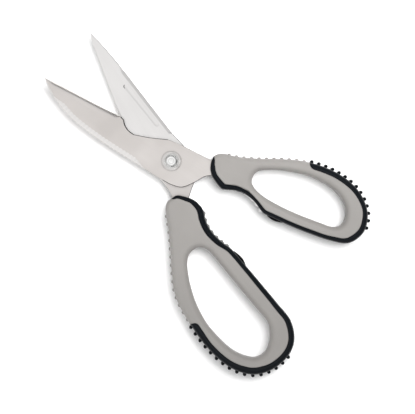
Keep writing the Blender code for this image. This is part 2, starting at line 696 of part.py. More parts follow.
def shade(objects):
    for made in objects:
        made.data.shade_smooth()
        made.data.set_sharp_from_angle(angle=math.radians(SHARP_EDGE_DEG))


def footprint_center(objects):
    """The middle of the objects' box in X and Y, in world coordinates."""
    bpy.context.view_layer.update()
    graph = bpy.context.evaluated_depsgraph_get()
    xs = []
    ys = []
    for made in objects:
        evaluated = made.evaluated_get(graph)
        spots = [evaluated.matrix_world @ vert.co for vert in evaluated.data.vertices]
        xs += [spot.x for spot in spots]
        ys += [spot.y for spot in spots]
    return (min(xs) + max(xs)) / 2, (min(ys) + max(ys)) / 2


def build():
    for old in list(bpy.data.objects):
        bpy.data.objects.remove(old)
    home = collection("poultry_shears")
    upper_tools = collection("upper_cutters")
    lower_tools = collection("lower_cutters")

    upper = make_handle("upper", upper_handle_shape(), home, upper_tools)
    upper.append(make_upper_blade(home, upper_tools))
    lower = make_handle("lower", lower_handle_shape(), home, lower_tools)
    lower.append(make_lower_blade(home, lower_tools))
    lower += make_pivot(home, lower_tools)
    shade(upper + lower)

    frame = empty_at("shears_frame", home)
    upper_axis = empty_at("upper_half_axis", home, frame, OPENING_DEG / 2)
    lower_axis = empty_at("lower_half_axis", home, frame, -OPENING_DEG / 2)
    for made in upper + list(upper_tools.objects):
        made.parent = upper_axis
    for made in lower + list(lower_tools.objects):
        made.parent = lower_axis

    center_x, center_y = footprint_center(upper + lower)
    frame.location = (-center_x, -center_y, 0.0)


build()
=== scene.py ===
"""The looks of the poultry shears: fine meshes, materials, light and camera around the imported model.

Lengths are in millimetres unless a name says otherwise. Each half is drawn in its
own closed frame, with the pivot at the origin and the blade's tip on +X, and its
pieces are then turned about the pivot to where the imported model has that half.
"""

import json
import math
from bisect import bisect_left

import bmesh
import bpy
from mathutils import Matrix, Vector


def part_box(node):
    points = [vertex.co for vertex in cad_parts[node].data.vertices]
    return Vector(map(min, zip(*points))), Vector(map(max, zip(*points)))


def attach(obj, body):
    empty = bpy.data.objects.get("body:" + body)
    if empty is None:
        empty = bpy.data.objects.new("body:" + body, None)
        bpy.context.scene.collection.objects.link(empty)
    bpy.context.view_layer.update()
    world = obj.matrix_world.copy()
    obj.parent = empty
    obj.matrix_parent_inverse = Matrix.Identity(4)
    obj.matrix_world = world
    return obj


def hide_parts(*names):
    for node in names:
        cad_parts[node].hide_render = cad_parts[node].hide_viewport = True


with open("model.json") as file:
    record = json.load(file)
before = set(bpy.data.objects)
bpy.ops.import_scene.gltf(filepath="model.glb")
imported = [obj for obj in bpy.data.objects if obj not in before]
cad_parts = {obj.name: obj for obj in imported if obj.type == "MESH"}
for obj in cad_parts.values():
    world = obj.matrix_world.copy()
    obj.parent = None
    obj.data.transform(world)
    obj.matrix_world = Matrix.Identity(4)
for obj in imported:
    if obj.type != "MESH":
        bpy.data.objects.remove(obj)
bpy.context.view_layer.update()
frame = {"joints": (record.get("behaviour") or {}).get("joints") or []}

MM = 0.001
PIVOT = Vector(frame["joints"][0]["pos_m"])
HALF_OPENING_DEG = 12.2
HALVES = {"upper": HALF_OPENING_DEG, "lower": -HALF_OPENING_DEG}


def levels(node):
    """The lowest and the highest level of a CAD node, in millimetres."""
    low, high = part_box(node)
    return low.z / MM, high.z / MM


HANDLE_TOP = levels("upper_handle_core")[1]
MIDDLE = HANDLE_TOP / 2
UPPER_BLADE_FLOOR, UPPER_BLADE_TOP = levels("upper_blade")
LOWER_BLADE_FLOOR, LOWER_BLADE_TOP = levels("lower_blade")

# ---- outlines

UPPER_EDGE = [(94.9, 0.0), (84.3, -1.4), (70.2, -2.9), (56.1, -4.2), (41.5, -5.7)]
UPPER_NOTCH = [(41.5, -5.7), (39.2, -5.2), (36.6, -2.9), (33.0, -1.3), (28.6, -1.0)]
UPPER_HEEL = [(28.6, -1.0), (19.2, -4.9), (9.1, -10.1)]
UPPER_BOSS = [(9.1, -10.1), (1.0, -11.8), (-12.0, -13.2)]
UPPER_TANG = [
    (-12.0, -13.2), (-22.0, -14.8), (-40.0, -22.0), (-43.5, -19.5), (-42.5, -15.0), (-26.0, -6.4),
]
UPPER_SHOULDER = [(-26.0, -6.4), (-22.6, -2.9), (-19.3, 3.5), (-14.6, 10.0), (-8.0, 12.4), (-2.0, 13.0)]
UPPER_CORNER = [(-2.0, 13.0), (3.4, 13.4), (11.0, 13.4)]
UPPER_BELLY = [(11.0, 13.4), (28.7, 13.9), (45.8, 13.9), (63.6, 12.8), (75.0, 10.2), (84.9, 6.5)]
UPPER_POINT = [(84.9, 6.5), (90.2, 3.6), (94.9, 0.0)]

LOWER_EDGE = [
    (94.9, 0.0), (90.6, 2.0), (77.7, 4.8), (58.0, 8.8), (44.5, 11.1), (31.0, 12.9), (14.0, 13.6),
]
LOWER_NECK = [(14.0, 13.6), (3.0, 13.7), (-6.0, 12.4), (-12.9, 11.4), (-18.9, 11.6)]
LOWER_TANG = [
    (-18.9, 11.6), (-28.0, 14.0), (-43.0, 20.4), (-46.8, 18.0), (-45.6, 13.0), (-25.5, 3.2),
]
LOWER_SHOULDER = [
    (-25.5, 3.2), (-21.4, -1.6), (-16.2, -8.2), (-9.0, -11.9), (2.0, -12.0), (13.9, -9.9),
]
LOWER_SPINE = [(13.9, -9.9), (37.0, -7.6), (57.1, -5.7), (68.5, -4.5)]
LOWER_POINT = [(68.5, -4.5), (77.3, -3.3), (86.4, -1.8), (94.9, 0.0)]

UPPER_HANDLE = [
    (-20.5, -15.6), (-21.7, -19.3), (-25.5, -22.1), (-34.7, -25.7), (-45.7, -31.8), (-56.2, -38.5),
    (-67.3, -44.5), (-80.7, -49.2), (-94.0, -50.9), (-107.0, -49.1), (-117.8, -43.0), (-123.6, -34.5),
    (-124.5, -26.0), (-120.2, -17.6), (-109.8, -12.9), (-97.0, -9.6), (-84.0, -6.9), (-73.0, -5.3),
    (-67.0, -4.4), (-64.0, -4.8), (-57.1, -7.3), (-50.0, -7.9), (-43.5, -6.4), (-38.8, -3.8),
    (-36.9, -2.9), (-35.2, -2.8), (-31.0, -4.1), (-26.2, -6.3), (-22.6, -10.0),
]
UPPER_FINGER_HOLE = [
    (-48.4, -18.2), (-48.6, -24.0), (-53.5, -28.7), (-62.7, -34.0), (-75.0, -38.9), (-88.0, -41.0),
    (-99.2, -39.8), (-107.2, -35.2), (-110.9, -27.6), (-107.8, -21.6), (-97.5, -18.6), (-79.1, -14.8),
    (-62.0, -13.2), (-52.5, -14.6),
]
LOWER_HANDLE = [
    (-19.8, 11.5), (-20.6, 16.3), (-25.0, 19.9), (-37.3, 25.3), (-49.2, 31.6), (-61.0, 37.9),
    (-70.0, 42.0), (-82.0, 44.2), (-99.8, 44.2), (-111.5, 43.0), (-122.6, 40.2), (-132.4, 35.5),
    (-140.1, 27.9), (-143.5, 18.5), (-143.3, 8.6), (-140.2, -0.2), (-133.8, -6.6), (-123.4, -10.0),
    (-111.8, -8.8), (-93.8, -6.4), (-80.0, -4.5), (-70.0, -3.1), (-65.5, -2.1), (-60.6, -0.1),
    (-54.4, 1.7), (-48.4, 2.3), (-42.5, 1.5), (-37.9, -0.2), (-34.0, -0.5), (-28.2, 1.0),
    (-23.0, 5.1), (-20.2, 8.3),
]
LOWER_FINGER_HOLE = [
    (-54.4, 15.6), (-58.6, 10.8), (-66.7, 9.0), (-85.5, 6.8), (-104.8, 4.2), (-117.2, 2.8), (-125.4, 6.1),
    (-132.0, 13.4), (-131.4, 22.0), (-123.0, 29.3), (-112.1, 33.2), (-97.0, 35.5), (-81.7, 34.0),
    (-67.0, 29.5), (-56.6, 23.4),
]

# The grip band: where it starts and ends going round the handle anticlockwise,
# how long each end tapers, and how wide it is at places along the outline.
UPPER_BAND = {
    "from": (-20.7, -17.0), "to": (-72.3, -46.6), "tapers": (7.0, 4.4), "grooved": (-50.0, -7.9),
    "widths": [
        ((-21.6, -12.1), 2.6), ((-23.1, -9.7), 3.1), ((-27.3, -5.8), 3.2), ((-36.0, -2.8), 3.6),
        ((-43.5, -6.4), 3.1), ((-50.0, -7.9), 2.6), ((-57.1, -7.3), 2.0), ((-67.0, -4.4), 2.4),
        ((-84.0, -6.9), 2.5), ((-103.6, -11.1), 2.6), ((-115.5, -14.9), 3.0), ((-123.1, -21.6), 3.8),
        ((-124.0, -33.0), 3.7), ((-117.8, -43.0), 3.2), ((-107.0, -49.1), 3.4), ((-94.0, -50.9), 3.6),
        ((-80.7, -49.2), 3.8),
    ],
}
LOWER_BAND = {
    "from": (-92.4, 44.4), "to": (-19.9, 12.6), "tapers": (3.6, 7.0), "grooved": (-48.4, 2.3),
    "widths": [
        ((-99.8, 44.2), 4.3), ((-111.5, 43.0), 3.8), ((-122.6, 40.2), 3.9), ((-136.7, 32.0), 4.5),
        ((-142.3, 23.3), 4.6), ((-143.8, 13.5), 4.2), ((-142.1, 4.0), 4.0), ((-133.8, -6.6), 3.9),
        ((-118.1, -9.8), 3.4), ((-102.9, -7.6), 3.1), ((-80.0, -4.5), 2.8), ((-63.2, -1.2), 2.8),
        ((-57.6, 0.9), 3.4), ((-48.4, 2.3), 3.8), ((-37.9, -0.2), 4.0), ((-31.2, 0.0), 3.3),
        ((-25.4, 2.9), 2.6), ((-21.3, 6.8), 2.2),
    ],
}

UPPER_RECESS = [
    (-66.0, -4.6), (-60.9, -6.2), (-55.5, -7.6), (-50.0, -7.9), (-44.8, -6.9), (-40.0, -4.4), (-37.0, -2.8),
]
LOWER_RECESS = [
    (-66.0, -2.3), (-60.6, -0.1), (-54.4, 1.7), (-48.4, 2.3), (-42.5, 1.5), (-37.9, -0.2), (-36.0, -0.5),
]
UPPER_PAD = [
    (-68.6, -4.7), (-71.2, -4.0), (-75.2, -4.3), (-79.4, -6.1), (-79.0, -7.4), (-74.0, -6.7), (-69.2, -6.0),
]
LOWER_PAD = [
    (-68.6, -3.0), (-71.7, -4.3), (-75.6, -5.2), (-80.2, -4.5), (-79.8, -3.2), (-74.4, -2.5), (-69.2, -1.7),
]

# Rows of nubs: the place of the first, how many on the core and on the band with their
# spacing, and which way round the handle the row runs (1 is anticlockwise).
UPPER_NUBS = {"start": (-28.1, -22.7), "core": (11, 4.72), "band": (14, 4.55), "way": -1}
LOWER_NUBS = {"start": (-27.7, 20.8), "core": (14, 5.15), "band": (16, 5.02), "way": 1}


# ---- lines

def smooth_run(points, steps, closed=False):
    """Points on a Catmull-Rom curve through the given ones, steps to a span."""
    fixed = [Vector(point) for point in points]
    count = len(fixed)
    if closed:
        fixed = [fixed[-1], *fixed, fixed[0], fixed[1]]
    else:
        fixed = [2 * fixed[0] - fixed[1], *fixed, 2 * fixed[-1] - fixed[-2]]
    curve = []
    for span in range(count if closed else count - 1):
        before, start, end, after = fixed[span:span + 4]
        for step in range(steps):
            t = step / steps
            pull = (end - before) * t + (2 * before - 5 * start + 4 * end - after) * t ** 2
            turn = (3 * start - before - 3 * end + after) * t ** 3
            curve.append(start + (pull + turn) / 2)
    if not closed:
        curve.append(fixed[-2])
    return curve


def signed_area(points):
    """Positive where the points run anticlockwise."""
    pairs = zip(points, points[1:] + points[:1])
    return sum(a.x * b.y - b.x * a.y for a, b in pairs) / 2


def left_of(direction):
    return Vector((-direction.y, direction.x)).normalized()


CURVE_STEPS = 12


class Track:
    """A smooth line through points, read by the distance along it. A closed one runs anticlockwise."""

    def __init__(self, points, closed=True):
        self.closed = closed
        self.path = smooth_run(points, CURVE_STEPS, closed)
        if closed:
            if signed_area(self.path) < 0:
                self.path.reverse()
            self.path.append(self.path[0])
        self.marks = [0.0]
        for start, end in zip(self.path, self.path[1:]):
            self.marks.append(self.marks[-1] + (end - start).length)
        self.length = self.marks[-1]

    def at(self, distance):
        if self.closed:
            distance %= self.length
        distance = min(max(distance, 0.0), self.length)
        index = max(1, bisect_left(self.marks, distance))
        span = self.marks[index] - self.marks[index - 1]
        share = (distance - self.marks[index - 1]) / span
        return self.path[index - 1].lerp(self.path[index], share)

    def side(self, distance, reach=0.7):
        """The unit normal to the left, which is inward on a closed line."""
        return left_of(self.at(distance + reach) - self.at(distance - reach))

    def nearest(self, place):
        """The distance along the line of its point nearest to a place."""
        spot = Vector(place)
        best = min(range(len(self.path)), key=lambda index: (self.path[index] - spot).length)
        return self.marks[best]

    def past(self, one, other):
        """How far one distance is past another, the shorter way round a closed line."""
        return (one - other + self.length / 2) % self.length - self.length / 2


def smooth_step(share):
    """Eases a share from 0 to 1."""
    share = min(max(share, 0.0), 1.0)
    return share * share * (3.0 - 2.0 * share)


# ---- meshes

SAME_PLACE_M = 2e-6
LEAST_MITRE = 0.5
TURNED_SHARP_DEG = 28.0


def mesh_object(name, bm, smooth_deg):
    """A finished object from bm, whose edges are sharp where they turn more than smooth_deg."""
    bmesh.ops.recalc_face_normals(bm, faces=bm.faces)
    mesh = bpy.data.meshes.new(name)
    bm.to_mesh(mesh)
    bm.free()
    mesh.shade_smooth()
    mesh.set_sharp_from_angle(angle=math.radians(smooth_deg))
    made = bpy.data.objects.new(name, mesh)
    bpy.context.scene.collection.objects.link(made)
    return made


def combine(target, tool, operation, smooth_deg):
    """Cuts tool from target, or joins it on, for good, and removes tool."""
    modifier = target.modifiers.new("combine", "BOOLEAN")
    modifier.operation = operation
    modifier.solver = "EXACT"
    modifier.object = tool
    bpy.context.view_layer.update()
    evaluated = target.evaluated_get(bpy.context.evaluated_depsgraph_get())
    mesh = bpy.data.meshes.new_from_object(evaluated)
    target.modifiers.clear()
    target.data = mesh
    bpy.data.objects.remove(tool)
    mesh.shade_smooth()
    mesh.set_sharp_from_angle(angle=math.radians(smooth_deg))


def bridge(bm, rings, slots=None):
    """Faces between neighbouring rings of corners. slots gives each face's material index."""
    for level, (low, high) in enumerate(zip(rings, rings[1:])):
        count = len(low)
        for index in range(count):
            after = (index + 1) % count
            face = bm.faces.new((low[index], low[after], high[after], high[index]))
            if slots:
                face.material_index = slots(level, index)


def clean(bm):
    """Joins corners that lie together and drops faces without area."""
    bmesh.ops.remove_doubles(bm, verts=bm.verts, dist=SAME_PLACE_M)
    bmesh.ops.dissolve_degenerate(bm, dist=SAME_PLACE_M, edges=bm.edges)


def corner(bm, spot, z):
    """A corner of a mesh at a spot on the plan and a height, in millimetres."""
    return bm.verts.new((spot.x * MM, spot.y * MM, z * MM))


def slab(name, outline, low, high, rounding, smooth_deg=30.0, steps=4):
    """A flat closed outline given thickness, with rounded rims."""
    if signed_area(outline) < 0:
        outline = outline[::-1]
    count = len(outline)
    sides = []
    for index in range(count):
        before = (outline[index] - outline[index - 1]).normalized()
        after = (outline[(index + 1) % count] - outline[index]).normalized()
        middle = left_of(before + after)
        sides.append(middle / max(LEAST_MITRE, middle.dot(left_of(before))))
    rim = []
    for step in range(steps + 1):
        angle = math.radians(90 * step / steps)
        rim.append((rounding * (1 - math.sin(angle)), rounding * (1 - math.cos(angle))))
    profile = [(inset, low + rise) for inset, rise in rim]
    profile += [(inset, high - rise) for inset, rise in reversed(rim)]
    bm = bmesh.new()
    rings = []
    for inset, z in profile:
        rings.append([corner(bm, spot + side * inset, z) for spot, side in zip(outline, sides)])
    bridge(bm, rings)
    bm.faces.new(rings[0][::-1])
    bm.faces.new(rings[-1])
    clean(bm)
    return mesh_object(name, bm, smooth_deg)


def circle_of(steps):
    """Unit vectors all round."""
    angles = [2 * math.pi * step / steps for step in range(steps)]
    return [Vector((math.cos(angle), math.sin(angle))) for angle in angles]


def lathe(name, profile, steps):
    """A solid turned about Z from a profile of (radius, z), read from top to bottom."""
    bm = bmesh.new()
    ways = circle_of(steps)
    rings = [[corner(bm, way * radius, z) for way in ways] for radius, z in profile]
    bridge(bm, rings)
    clean(bm)
    return mesh_object(name, bm, TURNED_SHARP_DEG)


# ---- handles

HANDLE_SHARP_DEG = 35.0
OUTER_ROUND = 3.0
HOLE_ROUND = 3.9

# The most of the room between the outer wall and the hole that a rounded rim, and the
# band with the rim, may take, and the most room that is reckoned with.
MOST_ROUND = 0.47
MOST_FLAT = 0.53
MOST_ROOM = 30.0
FLAT_PAST_BAND = 0.5

# Stations round the outline are closer together within FINE_REACH of the band's ends.
STATION_STEP = 0.8
FINE_STEP = 0.22
FINE_REACH = 8.0
NORMAL_REACH = 2.6
SPREAD_STOPS = 600
SPREAD_REACH = 26
SPREAD_ROUNDS = 2

# Points along a section. BAND_EASE crowds the band's towards the outer wall.
BAND_STEPS = 22
BAND_EASE = 0.45
RIM_STEPS = 12
TOP_STEPS = 6

# The rounding beside the seam, and the two grooves along the band by the jaws. Both
# are whole only where the band is as wide as their FULL value.
SEAM_WIDTH = 0.45
SEAM_DEPTH = 0.28
SEAM_GAP = 0.04
SEAM_FULL = 1.2
GROOVE_PLACES = (0.40, 0.74)
GROOVE_DEPTH = 0.42
GROOVE_WIDTH = 0.26
GROOVE_FULL = 2.0
GROOVED_REACH = 15.0
GROOVE_FADE = 12.0


def stations(outline, ends):
    """Distances round the outline, closer together near the ends of the band."""
    stops = [0.0]
    while stops[-1] < outline.length:
        here = stops[-1]
        gaps = [abs(outline.past(here, end)) for end in ends]
        stops.append(here + (FINE_STEP if min(gaps) < FINE_REACH else STATION_STEP))
    scale = outline.length / stops[-1]
    return [stop * scale for stop in stops[:-1]]


def value_at(marks, values, mark, period, rise):
    """Reads values along marks by straight interpolation; one round adds rise."""
    turns = math.floor(mark / period)
    mark -= turns * period
    index = bisect_left(marks, mark)
    known = []
    for place in (index - 1, index):
        rounds, spot = divmod(place, len(marks))
        known.append((marks[spot] + rounds * period, values[spot] + rounds * rise))
    (low_mark, low), (high_mark, high) = known
    share = (mark - low_mark) / (high_mark - low_mark) if high_mark > low_mark else 0.0
    return low + (high - low) * share + turns * rise


def hole_places(outline, hole, stops):
    """For each station, the distance round the finger hole of the place that faces it.

    The nearest places are evened out, each becoming the mean of its neighbourhood.
    """
    found = [hole.nearest(outline.at(stop)) for stop in stops]
    steps = [max(0.0, hole.past(after, here)) for here, after in zip(found, found[1:] + found[:1])]
    scale = hole.length / sum(steps)
    places = [found[0]]
    for step in steps[:-1]:
        places.append(places[-1] + step * scale)
    marks = [outline.length * index / SPREAD_STOPS for index in range(SPREAD_STOPS)]
    even = [value_at(stops, places, mark, outline.length, hole.length) for mark in marks]
    for _ in range(SPREAD_ROUNDS):
        means = []
        for index in range(SPREAD_STOPS):
            total = 0.0
            for spot in range(index - SPREAD_REACH, index + SPREAD_REACH + 1):
                total += even[spot % SPREAD_STOPS] + hole.length * (spot // SPREAD_STOPS)
            means.append(total / (2 * SPREAD_REACH + 1))
        even = means
    return [value_at(marks, even, stop, outline.length, hole.length) for stop in stops]


def band_widths(outline, band, stops):
    """The band's width at each station, or 0 outside it."""
    start = outline.nearest(band["from"])
    length = (outline.nearest(band["to"]) - start) % outline.length
    known = sorted(
        ((outline.nearest(place) - start) % outline.length, width) for place, width in band["widths"]
    )
    first, last = band["tapers"]
    widths = []
    for stop in stops:
        along = (stop - start) % outline.length
        if along >= length:
            widths.append(0.0)
            continue
        full = known[0][1] if along < known[0][0] else known[-1][1]
        for (a, low), (b, high) in zip(known, known[1:]):
            if a <= along < b:
                full = low + (high - low) * smooth_step((along - a) / (b - a))
        near = min(along / first, 1.0)
        far = min((length - along) / last, 1.0)
        widths.append(full * math.sqrt(1 - (1 - near) ** 2) * math.sqrt(1 - (1 - far) ** 2))
    return widths


def groove_strength(outline, band, stop):
    """The grooves run from the neck along the jaw recess and fade out past it."""
    away = abs(outline.past(stop, outline.nearest(band["grooved"])))
    return 1 - smooth_step((away - GROOVED_REACH) / GROOVE_FADE)


def rim_height(inset, radius):
    """How far below the top a rounded rim of that radius is, at an inset from the wall."""
    if inset >= radius:
        return 0.0
    return radius * (1 - math.sqrt(max(0.0, 1 - (1 - inset / radius) ** 2)))


def seam_dip(distance, width):
    """The small rounding beside the seam, which fades where the band runs out."""
    if width <= 0.0 or distance >= SEAM_WIDTH:
        return 0.0
    return SEAM_DEPTH * min(1.0, width / SEAM_FULL) * (1 - distance / SEAM_WIDTH) ** 2


def both_faces(upper):
    """A section's upper half, then its mirror image below the middle plane."""
    return upper + [(spot, 2 * MIDDLE - z) for spot, z in reversed(upper)]


def section_mesh(name, sections, closed):
    """A skin over neighbouring sections, which runs all the way round where closed."""
    bm = bmesh.new()
    rings = [[corner(bm, spot, z) for spot, z in section] for section in sections]
    if closed:
        rings.append(rings[0])
    bridge(bm, rings)
    clean(bm)
    return mesh_object(name, bm, HANDLE_SHARP_DEG)


def core_section(near, inward, far, outward, width, room):
    """The grey core's section at one station, from the seam or the outer wall to the hole."""
    outer = min(OUTER_ROUND, MOST_ROUND * room)
    inner = min(HOLE_ROUND, MOST_ROUND * room)
    flat = max(outer, min(width + FLAT_PAST_BAND, MOST_FLAT * room))
    start = width + (SEAM_GAP if width else 0.0)
    upper = [(near + inward * start, MIDDLE)]
    for step in range(RIM_STEPS + 1):
        inset = start + (flat - start) * (1 - math.cos(math.radians(90 * step / RIM_STEPS)))
        z = HANDLE_TOP - rim_height(inset, outer) - seam_dip(inset - start, width)
        upper.append((near + inward * inset, z))
    left = near + inward * flat
    right = far + outward * inner
    for step in range(1, TOP_STEPS):
        upper.append((left.lerp(right, step / TOP_STEPS), HANDLE_TOP))
    for step in range(RIM_STEPS + 1):
        inset = inner * (1 - math.sin(math.radians(90 * step / RIM_STEPS)))
        upper.append((far + outward * inset, HANDLE_TOP - rim_height(inset, inner)))
    upper.append((far, MIDDLE))
    return both_faces(upper)


def band_section(near, inward, width, room, grooved):
    """The band's section at one station, from the outer wall to the seam."""
    outer = min(OUTER_ROUND, MOST_ROUND * room)
    stop = max(0.0, width - SEAM_GAP)
    upper = [(near, MIDDLE)]
    for step in range(BAND_STEPS + 1):
        share = step / BAND_STEPS
        eased = 1 - math.cos(math.radians(90 * share))
        inset = stop * (BAND_EASE * eased + (1 - BAND_EASE) * share)
        z = HANDLE_TOP - rim_height(inset, outer) - seam_dip(stop - inset, width)
        for place in GROOVE_PLACES:
            z -= GROOVE_DEPTH * grooved * math.exp(-((inset - place * width) / GROOVE_WIDTH) ** 2)
        upper.append((near + inward * inset, z))
    upper.append((near + inward * stop, MIDDLE))
    return both_faces(upper)


NUB_RADIUS = 1.15
NUB_HEIGHT = 6.6
NUB_MIDDLE = 1e-6
CORE_NUB_STAND = -0.15
BAND_NUB_STAND = 0.75
NUB_SHARP_DEG = 180.0


def nub_places(outline, row):
    """Distances round the outline of the core's nubs and of the band's."""
    here = outline.nearest(row["start"])
    places = {}
    for part in ("core", "band"):
        count, pitch = row[part]
        places[part] = [here + row["way"] * pitch * index for index in range(count)]
        here += row["way"] * pitch * count
    return places["core"], places["band"]


def nub_row(name, outline, places, stand):
    """Upright pills on the handle's outer wall, whose middles stand out from it by stand."""
    bm = bmesh.new()
    stretch = NUB_HEIGHT / 2 - NUB_RADIUS
    for distance in places:
        outward = -outline.side(distance)
        centre = outline.at(distance) + outward * stand
        made = bmesh.ops.create_uvsphere(bm, u_segments=20, v_segments=12, radius=NUB_RADIUS)
        for vert in made["verts"]:
            at_middle = abs(vert.co.z) <= NUB_MIDDLE
            lift = MIDDLE + (0.0 if at_middle else math.copysign(stretch, vert.co.z))
            vert.co = Vector((centre.x + vert.co.x, centre.y + vert.co.y, vert.co.z + lift)) * MM
    return mesh_object(name, bm, NUB_SHARP_DEG)


def make_handle(half, outline, hole, band, nubs):
    """The core and the grip band of one handle."""
    ends = [outline.nearest(band["from"]), outline.nearest(band["to"])]
    stops = stations(outline, ends)
    widths = band_widths(outline, band, stops)
    places = hole_places(outline, hole, stops)
    core_sections = []
    band_sections = []
    for stop, width, place in zip(stops, widths, places):
        near = outline.at(stop)
        inward = outline.side(stop, NORMAL_REACH)
        far = hole.at(place)
        outward = -hole.side(place)
        room = min((near - far).length, MOST_ROOM)
        core_sections.append(core_section(near, inward, far, outward, width, room))
        grooved = groove_strength(outline, band, stop) * min(1.0, width / GROOVE_FULL)
        band_sections.append((width, band_section(near, inward, width, room, grooved)))
    core = section_mesh(f"{half}_handle_core_body", core_sections, closed=True)

    # The band is one stretch of sections. The flat ones just before and after it close its ends.
    first = next(i for i in range(len(widths)) if widths[i] > 0 and widths[i - 1] <= 0)
    turned = band_sections[first:] + band_sections[:first]
    kept = [section for width, section in turned if width > 0]
    before = turned[-1][1]
    after = turned[len(kept) % len(turned)][1]
    grip = section_mesh(f"{half}_handle_grip_band", [before, *kept, after], closed=False)

    on_core, on_band = nub_places(outline, nubs)
    core_nubs = nub_row("core_nubs", outline, on_core, CORE_NUB_STAND)
    band_nubs = nub_row("band_nubs", outline, on_band, BAND_NUB_STAND)
    combine(core, core_nubs, "UNION", HANDLE_SHARP_DEG)
    combine(grip, band_nubs, "UNION", HANDLE_SHARP_DEG)
    return core, grip


# ---- blades

# Which steel a face has. Past the first, each is painted light: the second near-black painted shadow lines,
# the third a painted highlight on the upper blade and painted shade on the lower, the fourth painted shade.
STEEL_FACE, STEEL_SHADOW_LINE, STEEL_BRIGHT, STEEL_SHADE = 0, 1, 2, 3
STEEL_RIM_SHADE = STEEL_BRIGHT
BEVEL_STEPS = 7
BLADE_SHARP_DEG = 7.0

# Bevels, each as its width across the blade and its fall to the edge.
EDGE_BREAK = (0.30, 0.12)
NOTCH_BREAK = (0.5, 0.5)
HEEL_BREAK = (0.32, 0.3)
SMALL_BREAK = (0.12, 0.06)
POINT_BREAK = (0.9, 0.25)
BELLY_BEVEL = (3.3, 0.5)
LOWER_GRIND = (2.3, 1.9)
SPINE_CHAMFER = (2.0, 0.45)
LEAST_FADE = 0.1
LEAST_WIDTH = 0.02
LEAST_EDGE = 0.15
LEAST_THICKNESS = 0.2

# The serrations are narrow cuts, deepest where STROKE is 1 and whole where the bevel is
# SERRATION_FULL wide. Likewise the scaler's scallops below.
STROKE = (0.0, 0.0, 0.4, 1.0, 0.4, 0.0)
STROKE_SHADED = 0.3
STROKE_REACH = 0.9
SERRATION_PITCH = 1.0
SERRATION_BITE = 0.16
SERRATION_CUT = 0.52
SERRATION_FULL = 1.2
CUT_BEVEL = 2.3
CUT_LAND = 0.3
CUT_CURVE = 5.0

SCALLOP_STEPS = 8
SCALER_PITCH = 2.6
SCALER_BITE = 0.5
SCALER_SCOOP = 0.05
SCALER_FULL = 1.5
SCALER_WAVE = 0.14

HOLE_RADIUS = 3.0
HOLLOW_LINE = ((23.0, -4.8), (56.2, -0.85))
HOLLOW_WIDTH = 3.0
HOLLOW_DEPTH = 0.15
STRIKE_DEG = (108.0, 4.0)
STRIKE_WIDTH = 0.5
STRIKE_DEPTH = 0.4
STRIKE_STEPS = 16
CUTTER_RISE = 1.0


def plain_run(points, spacing, top=EDGE_BREAK, bottom=SMALL_BREAK, slot=STEEL_FACE, fade=(0.0, 0.0)):
    """A stretch of a blade's outline with the same edge all along.

    fade gives the lengths over which the bevel grows at the start and shrinks at the end.
    """
    line = Track(points, closed=False)
    count = max(2, round(line.length / spacing))
    run = []
    for index in range(count + 1):
        distance = line.length * index / count
        share = 1.0
        for length, away in zip(fade, (distance, line.length - distance)):
            if length:
                share = min(share, max(LEAST_FADE, away / length))
        run.append({
            "at": line.at(distance), "side": line.side(distance, 0.25), "slot": slot,
            "top": (top[0] * share, top[1] * share), "bottom": (bottom[0] * share, bottom[1]),
            "bite": 0.0, "groove": 0.0, "scoop": 0.0, "curve": 1.0,
        })
    return run


def serrated_run(points):
    """The cutting edge of the blade on top: narrow V grooves across its bevel."""
    length = Track(points, closed=False).length
    teeth = round(length / SERRATION_PITCH)
    drop = UPPER_BLADE_TOP - UPPER_BLADE_FLOOR - CUT_LAND
    steps = len(STROKE)
    run = plain_run(points, length / (teeth * steps), (CUT_BEVEL, drop), fade=(7.0, 3.0))
    for index, stop in enumerate(run):
        cut = STROKE[index % steps]
        after = STROKE[(index + 1) % steps]
        stop["curve"] = CUT_CURVE
        stop["bite"] = SERRATION_BITE * cut
        stop["groove"] = SERRATION_CUT * cut * min(1.0, stop["top"][0] / SERRATION_FULL)
        # The strokes take the darker steel: painted shade in the serration grooves.
        stop["slot"] = STEEL_SHADE if cut + after > STROKE_SHADED else STEEL_FACE
    return run


def scaler_run(points):
    """The scalloped bevel along the back of the blade on top."""
    length = Track(points, closed=False).length
    scallops = round(length / SCALER_PITCH)
    spacing = length / (scallops * SCALLOP_STEPS)
    # The bevel takes the brightest steel: a painted highlight along the back of the blade.
    run = plain_run(points, spacing, BELLY_BEVEL, slot=STEEL_BRIGHT, fade=(9.0, 9.0))
    for index, stop in enumerate(run):
        hollow = math.sin(math.pi * (index % SCALLOP_STEPS) / SCALLOP_STEPS)
        width, fall = stop["top"]
        strength = min(1.0, width / SCALER_FULL)
        stop["bite"] = SCALER_BITE * hollow * strength
        stop["scoop"] = SCALER_SCOOP * hollow * strength
        stop["top"] = (width * (1 - SCALER_WAVE + SCALER_WAVE * hollow), fall)
    return run


def ring_spot(stop, share, part):
    """Inset and drop of a point on a bevel: share 0 at the blade's edge, 1 at its face."""
    width, drop = stop[part]
    inset = stop["bite"] * (1 - share) + max(width, LEAST_WIDTH) * share
    fall = drop * (1 - share) ** stop["curve"]
    if part == "top" and share < STROKE_REACH:
        fall += stop["groove"] * (1 - share / STROKE_REACH)
        fall += stop["scoop"] * math.sin(math.pi * min(1.0, share * 1.1))
    return inset, fall


